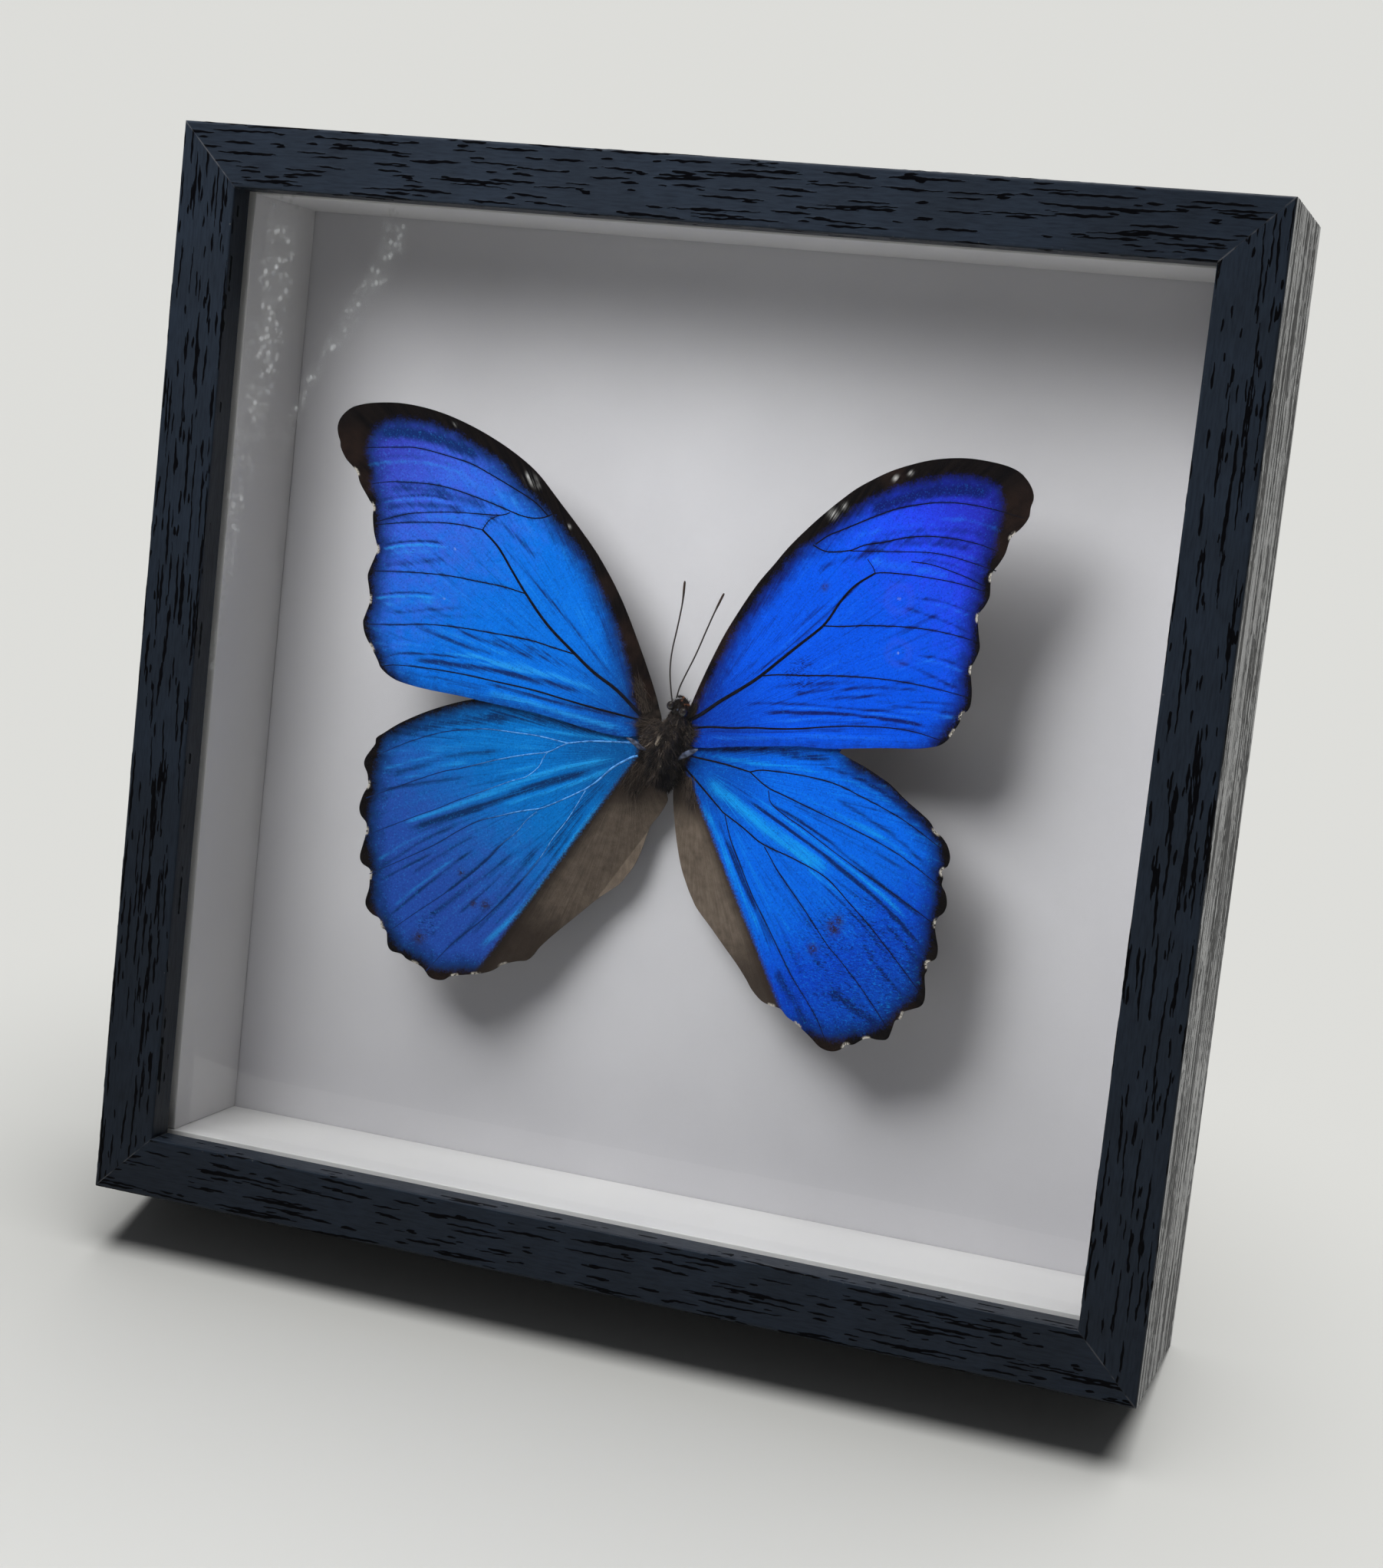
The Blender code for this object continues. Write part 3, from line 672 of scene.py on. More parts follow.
leftFore = {
    "name": "forewing_left",
    "hub": (-9.5, 0),
    "hind": None,
    "outline": [
        (-4.6, 1), (-5.25, 4), (-7, 8.5), (-10, 15), (-15, 25), (-20, 32.6), (-25, 38.5), (-30, 43.85),
        (-35, 49), (-40, 52.5), (-45, 55.15), (-50, 57.25), (-55, 58.85), (-60, 59.8), (-65, 60.1),
        (-70, 59.6), (-73, 58.85), (-75, 57.9), (-76.75, 56), (-77.4, 54), (-77.15, 52.25),
        (-76.65, 50.9), (-76.5, 49.75), (-75.25, 47.5), (-73, 45.25), (-72, 42.75), (-70, 39.75),
        (-69, 38.25), (-68.9, 36), (-68.4, 33), (-67.4, 29.75), (-67.75, 28.25), (-68.9, 25),
        (-69.1, 23.5), (-68.5, 20.5), (-68.35, 18.25), (-69.1, 15.5), (-69.4, 14), (-68.75, 11.5),
        (-67.25, 9), (-65.75, 6.5), (-64.75, 4.75), (-62, 3), (-58.5, 2.15), (-54.5, 1.65), (-47, 1.1),
        (-40, 0.4), (-30, -0.55), (-20, -2.25), (-15, -2.9), (-11, -2.85), (-7, -1.6),
    ],
    "field": [
        (-9, 1), (-10.75, 4.5), (-12, 10), (-15.5, 19), (-18.5, 25), (-23, 32), (-27, 36.5), (-32, 41.25),
        (-37, 45), (-42, 49.5), (-47, 52.5), (-52, 54.75), (-56.5, 56.3), (-63, 56.9), (-68.5, 55.5),
        (-70.5, 52), (-71, 49), (-69.5, 46), (-69.6, 43.4), (-68.3, 40.2), (-67.6, 37), (-67.4, 33),
        (-66.9, 30), (-67.3, 26.5), (-67.9, 23), (-67.4, 19), (-68.3, 14.5), (-67, 10.5), (-65, 7),
        (-63.5, 4.8), (-61, 2.8), (-55, 0), (-40, -1), (-20, -4), (-10, -5),
    ],
    "fringe": [(-73, 45.1), (-69, 38.3), (-67.4, 29.6), (-68.3, 19), (-67.2, 9)],
    "violet": ((-44, 10), (-76, 40)),
    "deep": ((-50, 47), (-66, 58)),
    "dots": [(-51, 31.5, 0.55, 2.6), (-52.5, 21, 0.5, 2.2)],
    "rubGlints": [
        (-36.7, 48.0, 0.7), (-35.8, 47.2, 0.8), (-34.8, 46.3, 0.5), (-27.3, 38.8, 0.3),
        (-53, 56.9, 0.4),
    ],
    "ripple": (-60, 30, 1),
    "umber": [(-74.5, 50, 6.5), (-71, 43, 4), (-14, 16, 7), (-9, 5, 8), (-19, 27, 4)],
    "stains": [],
    "veins": [
        (0.36, 0.2, [(-9, 2), (-14.5, 6.5), (-19.5, 9.5), (-24, 13), (-30, 18), (-35.2, 24), (-39, 29),
            (-42, 33), (-45.5, 36.1)]),
        (0.13, 0.1, [(-45.5, 36.1), (-44.1, 38.4), (-42, 39.5)]),
        (0.15, 0.1, [(-31, 41), (-32.6, 40.1), (-35, 39.65), (-38, 40), (-44, 41.75), (-50, 43.25),
            (-54, 44), (-58, 44.25), (-65, 43.9), (-69.5, 43)]),
        (0.15, 0.1, [(-32, 40.5), (-35, 43), (-40, 45.5), (-45, 47.75), (-49, 49.35), (-55, 50.6),
            (-60.5, 51.35), (-65, 51), (-72, 50.2)]),
        (0.13, 0.1, [(-40, 40.25), (-42, 39.5), (-47, 39.25), (-52, 39), (-57, 38.4), (-62, 37.5),
            (-68.5, 35.1)]),
        (0.14, 0.1, [(-45.5, 36.1), (-50, 36.6), (-54, 36.6), (-58, 36.25), (-62, 35.75), (-68.4, 34.6)]),
        (0.15, 0.1, [(-35.2, 24), (-40, 24.9), (-46, 25.4), (-51, 25.8), (-56, 25.8), (-62, 25.5),
            (-68.9, 24.9)]),
        (0.16, 0.1, [(-24, 12.8), (-29, 13.7), (-34, 14.6), (-44, 15.2), (-50, 15.4), (-56, 15.2),
            (-62, 14.4), (-69, 13.7)]),
        (0.22, 0.1, [(-8.5, 1), (-11, 1.2), (-18, 2.1), (-24, 3), (-32, 4.3), (-40, 5.1), (-48, 5.8),
            (-56, 6.1), (-62, 5.9), (-65, 5.2)]),
    ],
    "creases": [
        (-0.9, 1.3, [(-70, 53.6), (-62, 54.2), (-54, 53), (-46, 50.4)]),
        (0.4, 0.5, [(-73, 45.6), (-69, 47.3), (-62, 48.4), (-56, 48.3), (-49, 46.8)]),
        (-0.3, 0.5, [(-72, 46.8), (-66, 49), (-58, 49.3), (-50, 48)]),
        (0.25, 1.2, [(-56, 46.6), (-48, 45.3), (-42, 43.4), (-37, 41.6)]),
        (-0.5, 1.1, [(-67, 42.5), (-58, 43), (-50, 41.9), (-43, 40.6)]),
        (0.6, 0.35, [(-68, 39), (-64, 40.2), (-57, 41.2), (-51, 40.6)]),
        (-0.6, 0.3, [(-68.5, 39.6), (-63, 41), (-57, 41.8), (-52, 41.3)]),
        (-0.5, 0.8, [(-68, 37.9), (-62, 39.4), (-56, 40), (-49, 39.9)]),
        (0.35, 0.6, [(-60, 37.2), (-54, 38), (-47, 38.4)]),
        (-0.35, 0.9, [(-67.5, 36), (-62, 36.8), (-57, 37.4)]),
        (0.75, 0.38, [(-67, 29.6), (-62, 31), (-57, 31.7), (-52, 31.5)]),
        (-0.8, 0.3, [(-67, 30.3), (-62, 31.7), (-57, 32.4), (-52.5, 32.3)]),
        (0.35, 0.8, [(-66.5, 28.6), (-61, 29.8), (-55, 30.4)]),
        (-0.4, 0.7, [(-67, 26.6), (-62, 27.2), (-57, 28.2), (-52, 29.4)]),
        (0.7, 0.35, [(-68, 19.2), (-62, 20.4), (-57, 20.9), (-53.5, 20.8)]),
        (-0.7, 0.28, [(-68, 19.9), (-62, 21.1), (-57, 21.6), (-54, 21.5)]),
        (0.35, 0.6, [(-66.5, 17.8), (-60, 19.4), (-54, 19.9)]),
        (-0.45, 0.5, [(-66, 16.4), (-60, 17.4), (-54, 18.6), (-47, 19.8)]),
        (-0.3, 0.5, [(-59, 16.3), (-50, 17.6), (-43, 18.3)]),
        (-0.4, 0.5, [(-66, 13), (-60, 11.6), (-54, 11), (-47, 10.8)]),
        (-0.5, 0.5, [(-59, 14.6), (-52, 13), (-46, 11.6), (-40, 10.5)]),
        (0.3, 0.5, [(-55, 14.6), (-49, 13.4), (-43, 12), (-37, 10.8)]),
        (-0.5, 0.5, [(-50, 14.7), (-44, 13.5), (-38, 12.2), (-31, 10.6)]),
        (-0.4, 0.45, [(-43, 14.2), (-37, 13), (-31, 11.4), (-25, 9.6)]),
        (-0.35, 0.4, [(-36, 13.6), (-30, 12.2), (-24, 10), (-18, 7.4)]),
        (0.6, 0.7, [(-66, 9.6), (-58, 10.3), (-48, 9.8), (-38, 9), (-30, 8), (-22, 6.6), (-15, 4.6)]),
        (-0.6, 0.32, [(-67, 8.8), (-62, 9.9), (-54, 10.1), (-46, 10.2)]),
        (-0.75, 0.3, [(-65.5, 6.4), (-62, 8.2), (-56, 9), (-48, 9.1), (-40, 8.8)]),
        (-0.75, 0.7, [(-60, 7.2), (-50, 7.7), (-42, 7.4), (-34, 6.8), (-27, 5.9), (-20, 4.7)]),
        (0.55, 0.5, [(-52, 8.6), (-42, 8.5), (-36, 8), (-28, 7)]),
        (-0.7, 0.55, [(-44, 4.6), (-36, 3.7), (-28, 2.5), (-20, 1.6), (-11, 0.6)]),
        (0.6, 0.8, [(-44, 2.9), (-34, 2), (-26, 0.5), (-17, -0.9), (-11, -1.4)]),
        (-0.35, 0.4, [(-60, 4.6), (-52, 4.2), (-46, 3.4), (-40, 2.7)]),
        (-0.5, 0.35, [(-42, 34.6), (-37, 29.6), (-31, 24.2), (-26, 19.6), (-20, 13.6), (-13, 7)]),
        (-0.5, 0.6, [(-45, 39.5), (-41, 37.3), (-37, 34.3), (-33, 31)]),
        (-0.35, 0.6, [(-11, 6), (-14, 12), (-18, 19), (-23, 27)]),
        (0.25, 0.6, [(-12, 5.6), (-17, 11.6), (-22, 18), (-28, 26)]),
        (-0.5, 0.9, [(-23, 31), (-27, 35.2), (-31, 38.5)]),
    ],
}

rightFore = {
    "name": "forewing_right",
    "hub": (3.5, 0),
    "hind": None,
    "outline": [
        (1.5, 5), (2.5, 8), (4, 12), (6, 17), (8, 21.5), (11, 27), (14, 32), (17, 36), (20, 40),
        (24, 44.5), (27, 47.5), (30, 50.25), (33, 52.75), (36.5, 55), (40, 56.9), (44, 58.5), (48, 59.75),
        (52, 60.5), (56, 60.8), (60, 60.6), (63.5, 60.1), (66, 59.25), (67.75, 57.9), (69, 56.25),
        (69.5, 54.5), (69.1, 52.75), (69, 51), (68.25, 49.5), (67.25, 48.25), (66, 47), (65.5, 45.75),
        (65, 43.5), (64, 41.5), (62.75, 39.5), (62.65, 37.5), (62.75, 35), (62, 33), (60.9, 31.25),
        (61, 29.5), (61.5, 27), (61.9, 24.75), (61.25, 22.5), (60.65, 21), (60.75, 19), (61.25, 16.5),
        (61.35, 14), (60.9, 12.5), (59.75, 11.5), (59.5, 10), (58.75, 8.5), (58, 7), (56.75, 5.5),
        (55, 4.5), (51, 3.5), (46, 2.9), (40, 2), (33, 0.9), (26, 0.4), (20, -0.5), (15, -1.25),
        (10, -2.1), (6, -2.85), (2.5, -3), (0.6, -1.6), (0.4, 2),
    ],
    "field": [
        (1.5, 2), (4.6, 9), (7.4, 16), (10.4, 22.6), (14.4, 29.4), (18, 34.4), (22, 39.2), (26, 42.6),
        (30, 46), (34, 49.6), (38, 52), (43, 54.4), (48, 56), (53, 57.2), (58, 57.2), (62, 56),
        (63.4, 53), (63.6, 50), (62.8, 47), (62.6, 44), (61.6, 41), (61, 38), (61.4, 35), (60.4, 31.5),
        (60.2, 28), (60.6, 25), (59.8, 21), (59.9, 17.5), (60.1, 14), (58.6, 11), (57, 7.8), (55.6, 6),
        (54, 3), (45, 0), (20, -3), (2, -6),
    ],
    "fringe": [(66, 47), (62.9, 38.6), (60.95, 30.6), (60.75, 20.4), (59.6, 11.4), (58.2, 7.6)],
    "violet": ((36, 24), (58, 48)),
    "deep": ((42, 47), (60, 58)),
    "dots": [(44.25, 32.35, 0.6, 2.6), (45.25, 21.75, 0.5, 2.2)],
    "rubGlints": [(28.7, 47.3, 0.8), (31, 49, 0.6), (41, 55.6, 0.5), (44, 56.9, 0.4)],
    "ripple": (25, 15, 5),
    "umber": [(67, 52, 7), (64.5, 45, 4), (40, 56.5, 4), (8, 19, 7), (3, 6, 7)],
    "stains": [(28.4, 32.8, 0.7)],
    "veins": [
        (0.36, 0.2, [(1, 2), (4, 3.75), (8, 7), (12.5, 10.25), (16, 13), (20, 16.75), (24, 20.5),
            (27, 23.25), (29, 25.25), (30.5, 27.5), (32.5, 31), (35, 34), (38.75, 36.75)]),
        (0.13, 0.1, [(38.75, 36.75), (38.1, 37.9), (36.8, 39.3)]),
        (0.15, 0.1, [(25, 40.8), (27, 40), (29, 39.85), (33, 40.6), (36, 42), (40, 43), (44, 44.25),
            (48, 45), (52, 45.25), (56, 45.1), (60, 44.6), (64, 43.6)]),
        (0.15, 0.1, [(25.5, 41), (28, 43), (30, 44), (34, 46), (38, 48), (42, 49.75), (46, 50.9),
            (50, 51.75), (54, 52.1), (58, 52), (62, 51.6), (68, 50.6)]),
        (0.12, 0.1, [(33, 40.5), (41, 41.25), (46, 41.75), (50, 42), (54, 41.75), (58, 41.1),
            (63.5, 40)]),
        (0.12, 0.1, [(46, 39.85), (50, 39.75), (54, 39), (58, 38), (62.4, 36.5)]),
        (0.14, 0.1, [(38.75, 36.75), (41, 37.1), (46, 37.25), (51, 37.1), (56, 36.75), (62.3, 35.7)]),
        (0.15, 0.1, [(29, 25.1), (33, 25.5), (37, 26.15), (41, 26.6), (46, 27), (51, 27.1), (56, 26.75),
            (61.4, 26)]),
        (0.16, 0.1, [(17, 13.5), (20, 14.1), (26, 14.75), (32, 15.5), (38, 16), (44, 16.25), (50, 16.1),
            (56, 15.6), (61, 15)]),
        (0.22, 0.1, [(0, 0.2), (6, 1.5), (11, 2), (16, 2.75), (21, 3.25), (26, 4), (31, 5), (36, 5.9),
            (41, 6.5), (46, 6.9), (51, 6.7), (56.5, 5.8)]),
    ],
    "creases": [
        (-0.9, 1.3, [(62, 54.4), (55, 54.6), (48, 53.4), (41, 50.8), (35, 48)]),
        (-0.5, 1.0, [(36, 50.5), (30, 46), (26, 42.4)]),
        (0.35, 0.5, [(50, 48.7), (56, 49), (60, 48.6), (65, 47.4)]),
        (-0.35, 0.7, [(38, 44), (46, 46), (52, 46.7), (58, 46.8), (63, 46)]),
        (0.3, 0.6, [(33, 43.3), (40, 45.4), (46, 46.8), (52, 47.5)]),
        (-0.45, 1.0, [(35, 41), (40, 42.2), (46, 43.6), (52, 44), (60, 43.6)]),
        (0.35, 0.5, [(43, 41.4), (50, 42.6), (56, 42.4), (61, 41)]),
        (0.45, 1.2, [(36, 39), (42, 38.5), (48, 38.4), (55, 38)]),
        (-0.4, 0.35, [(48, 40.6), (54, 40.2), (61, 38.5)]),
        (-0.5, 0.3, [(46, 32.9), (52, 32.9), (56, 32.3), (61, 31.1)]),
        (0.35, 0.4, [(48, 32.2), (54, 32), (60, 30.6)]),
        (-0.45, 0.38, [(44, 31), (50, 30), (55, 28.9), (61, 27)]),
        (-0.5, 0.3, [(48, 21.8), (54, 21.7), (60.5, 20.5)]),
        (0.4, 0.4, [(48, 21.1), (54, 20.9), (60, 19.6)]),
        (-0.5, 0.5, [(44, 20.3), (50, 19), (55, 17.4), (60.5, 15.9)]),
        (-0.35, 0.45, [(18, 11), (26, 13), (34, 14.2), (41, 15.1)]),
        (-0.5, 0.42, [(22, 10), (30, 12.2), (38, 13.8), (46, 14.8), (53, 15)]),
        (-0.55, 0.42, [(30, 10.4), (38, 12.1), (46, 13.6), (55, 14.2)]),
        (-0.5, 0.36, [(40, 11.3), (48, 12.3), (54, 13), (60, 13.6)]),
        (0.4, 0.35, [(34, 12), (42, 13.2), (50, 14), (57, 14.2)]),
        (0.4, 0.3, [(44, 12), (52, 12.4), (59, 12.5)]),
        (0.4, 0.35, [(46, 10.4), (54, 10.9), (59.5, 10.3)]),
        (-0.4, 0.3, [(44, 11.1), (52, 11.5), (59.5, 11.5)]),
        (-0.55, 0.36, [(12, 7), (20, 8.3), (28, 9), (36, 9.4), (44, 9.9), (52, 10)]),
        (-0.95, 0.42, [(16, 5.8), (24, 7), (32, 7.9), (40, 8.4), (48, 8.5), (55, 7.8)]),
        (0.45, 0.32, [(18, 7.2), (28, 8.3), (36, 8.9), (46, 9.2), (54, 9)]),
        (0.35, 0.5, [(16, 4.4), (26, 5.7), (36, 7.2), (46, 7.7)]),
        (-0.35, 0.3, [(24, 5.4), (32, 6.3), (40, 7), (48, 7.4), (56, 6.6)]),
        (-0.45, 0.4, [(3, 0.2), (11, 1.2), (20, 2.4), (30, 4), (38, 5.2)]),
        (0.4, 0.6, [(4, -1), (14, 0.4), (24, 2), (36, 3.6), (48, 4.6)]),
        (-0.5, 0.32, [(12, 11), (20, 18), (25, 22.8), (31, 29), (37, 35.8)]),
        (0.35, 0.4, [(18, 17.5), (24, 23.3), (29, 28.2), (34, 33.6)]),
        (-0.35, 0.5, [(18, 19.5), (24, 25), (29, 29.6)]),
        (-0.45, 0.7, [(26, 35.5), (30, 37.8), (35, 39.7), (39, 40.7)]),
        (-0.3, 0.5, [(4, 6), (8, 11), (12, 17), (16, 22.5), (20, 27)]),
        (-0.35, 0.4, [(3, 4.4), (7, 8.4), (11, 12.4), (17, 17.6)]),
        (0.25, 0.5, [(4, 5), (9, 10.6), (14, 16)]),
        (-0.35, 1.2, [(12, 24), (17, 31), (22, 36.5)]),
    ],
}

leftHind = {
    "name": "hindwing_left",
    "hub": (-10, -6.5),
    "hind": ((-12, -11.5), (0.86, -0.51)),
    "lobeEarly": 0.3,
    "outline": [
        (-7.6, -3.6), (-14, -1.5), (-26, -0.4), (-39, 0.25), (-44, 0.75), (-46, 0.4), (-50, -1),
        (-55, -3.25), (-60, -6.1), (-63.5, -8.75), (-65, -10), (-65.1, -11.25), (-66, -12.75),
        (-67, -14.5), (-67.15, -16), (-66.25, -17.75), (-66, -19), (-65.85, -20.25), (-66.75, -22.5),
        (-67.25, -25), (-66.75, -26.75), (-65.4, -28.25), (-65.25, -30.25), (-65.75, -33),
        (-66.15, -35.5), (-65.5, -37), (-63.75, -38), (-63.6, -39.5), (-63.5, -42), (-64, -44.75),
        (-63.6, -46.25), (-62.25, -47.5), (-60.5, -48.25), (-60, -50), (-58.75, -50.75), (-58.25, -53.5),
        (-57.25, -54.75), (-55, -55.1), (-53.75, -56), (-50.5, -57.15), (-49.5, -58), (-48.5, -59.1),
        (-47, -59.5), (-45.25, -59.25), (-43.75, -58.25), (-40, -57.35), (-37.5, -56.85), (-35.5, -56),
        (-33.5, -54.5), (-31, -53.6), (-29.25, -53.25), (-28, -52), (-26.75, -50), (-24, -46.75),
        (-20, -42.5), (-16, -38.25), (-12, -34.75), (-10.75, -33), (-9.25, -30.5), (-8, -27),
        (-6.75, -22), (-5, -19), (-3.75, -16.5), (-3.5, -15), (-4.5, -12.5), (-6, -10),
    ],
    "field": [
        (-6, -1), (-16, 2), (-30, 3), (-40, 1.4), (-47, -1), (-54, -3.9), (-60, -7.4), (-63.4, -10.2),
        (-64, -14), (-64.7, -18), (-64.3, -21), (-65, -26), (-64.6, -30), (-64, -34), (-63, -37),
        (-62.6, -41), (-62.2, -45), (-60.6, -47.6), (-58.6, -50), (-56.6, -53), (-53.6, -54.6),
        (-50.4, -55.8), (-47.6, -57.3), (-44.5, -57), (-41, -56.4), (-36, -56), (-30, -54),
        (-25.7, -47.5), (-20.7, -38.5), (-16.7, -30.5), (-12.7, -22.5), (-8.7, -15.5), (-2, -9),
    ],
    "fringe": [(-65.7, -20.2), (-65.3, -30), (-63.6, -39.3), (-60.1, -49.6), (-52, -56.9), (-43, -58.2),
               (-38.6, -57.1), (-33.6, -54.6)],
    "violet": ((-34, -14), (-56, -42)),
    "deep": ((-24, -18), (-54, -50)),
    "dots": [],
    "rubGlints": [],
    "ripple": (-50, -48, 4),
    "umber": [(-44, -58, 9), (-61, -48, 4)],
    "stains": [(-40.6, -42.2, 0.7), (-38, -42.1, 1.0), (-43.8, -36, 0.7), (-51.5, -51, 1.3)],
    "veins": [
        (0.2, 0.16, [(-9.5, -4), (-16, -4.5), (-20, -5), (-24, -5.9)]),
        (0.15, 0.1, [(-24, -5.9), (-28, -5.4), (-31, -5.15), (-35, -5.1), (-41, -5.1), (-44, -5.5),
            (-48, -6.25), (-52, -7.4), (-58, -10), (-64.5, -13.6)]),
        (0.15, 0.1, [(-24, -5.9), (-25.5, -6.75), (-28, -8.25), (-32, -9.25), (-36, -10.4), (-40, -11.75),
            (-46, -14), (-50, -15.25), (-56, -18), (-61, -20.5), (-66, -23)]),
        (0.12, 0.1, [(-28, -8.25), (-29, -10), (-29.5, -11.5), (-32, -14), (-35, -15.25), (-41, -18.25),
            (-46, -20.75), (-50, -23), (-56, -26), (-65.4, -31)]),
        (0.24, 0.16, [(-9, -6.6), (-10.5, -7.25), (-14, -9.75), (-17, -13), (-19.5, -15.1)]),
        (0.16, 0.1, [(-19.5, -15.1), (-23, -17.25), (-26, -19), (-28.5, -20.25), (-33, -21.5), (-37, -23),
            (-41, -24.5), (-45, -27), (-50, -30.75), (-56, -34.5), (-63.7, -39)]),
        (0.12, 0.1, [(-29, -21), (-31, -23), (-33, -26), (-36, -29), (-39, -33), (-46, -40), (-53, -46),
            (-58.6, -51)]),
        (0.13, 0.1, [(-19.25, -15.25), (-20.5, -18), (-22.5, -22), (-25, -26), (-27, -30), (-29.5, -34),
            (-32, -37.5), (-38, -45), (-44, -51), (-49.4, -58)]),
    ],
    "creases": [
        (0.6, 0.45, [(-12, -4.2), (-20, -3.9), (-28, -4), (-36, -4.4)]),
        # a crease that lies back, its tone painted as the forewing's shadow along the hindwing's top
        (-0.55, 1.3, [(-16, -2.6), (-26, -2), (-36, -1.7), (-43, -1.6)]),
        (-0.5, 1.2, [(-64, -9.4), (-58, -7.8), (-50, -5.1), (-43, -3.4), (-36, -2.8)]),
        (0.25, 1.2, [(-28, -6.7), (-38, -7.6), (-46, -9.2), (-55, -12)]),
        (-0.5, 0.7, [(-63, -18.2), (-56, -15.3), (-50, -12.6), (-44, -10.6), (-37, -9.2)]),
        (0.4, 0.35, [(-64, -17), (-57, -14), (-50, -11.4)]),
        (-0.4, 0.55, [(-65, -21.8), (-56, -18.8), (-50, -16.8), (-44, -15)]),
        (0.3, 0.7, [(-60, -18.6), (-52, -14.9), (-44, -12.4)]),
        (0.4, 0.45, [(-64, -27.3), (-58, -24), (-50, -20.3), (-42, -16.8), (-34, -12.9), (-26, -9.4)]),
        (-0.55, 0.36, [(-64, -26.6), (-56, -23.2), (-48, -19.6), (-40, -16), (-33, -12.8)]),
        (0.8, 0.8, [(-60, -28.3), (-52, -24.6), (-44, -20.8), (-36, -16.6), (-28, -12.7), (-20, -9.6),
            (-12, -7)]),
        (-0.85, 1.0, [(-58, -29.3), (-50, -25.6), (-42, -22), (-36, -19), (-30, -16), (-24, -13.3),
            (-17, -10.6)]),
        (0.7, 0.55, [(-38, -21.4), (-31, -18.2), (-24, -15), (-18, -12.1), (-13, -9)]),
        (-0.5, 0.45, [(-63.5, -38.8), (-58, -34.6), (-52, -29.8), (-45, -26)]),
        (0.35, 0.5, [(-63, -36.6), (-57, -31.8), (-50, -27.6)]),
        (-0.7, 0.4, [(-59.5, -48.5), (-54, -42.6), (-48, -36.6), (-41, -30)]),
        (0.4, 0.6, [(-58.4, -46), (-52, -39.4), (-45, -33)]),
        (-0.4, 0.9, [(-51, -47.6), (-44, -41), (-38, -35.4), (-32, -29)]),
        (0.3, 0.5, [(-50, -50), (-43, -43), (-36, -35.6), (-30, -28)]),
        (-0.35, 0.8, [(-46, -54), (-39, -45), (-33, -36.5), (-27, -27)]),
        (-0.6, 0.4, [(-47, -41), (-41, -35), (-35, -28)]),
        (-0.5, 0.4, [(-55, -38), (-48, -32.4), (-41, -27)]),
        (-0.55, 0.4, [(-62.6, -41), (-56, -36.4), (-50, -32.4)]),
        (-0.5, 0.5, [(-44, -45.5), (-38, -38.6), (-33, -32)]),
        (-0.45, 0.45, [(-41, -50), (-35, -42), (-30, -34.6)]),
        (0.65, 0.75, [(-14.6, -15), (-20, -25), (-24, -33), (-28.4, -39.6), (-34, -46.6), (-40, -53)]),
        (-0.45, 0.32, [(-18, -18), (-22.4, -26), (-27, -34.4), (-31.4, -41), (-37, -48)]),
        (-0.45, 1.0, [(-15, -12), (-19, -17.5), (-23, -24.5), (-26.5, -31.5)]),
    ],
}

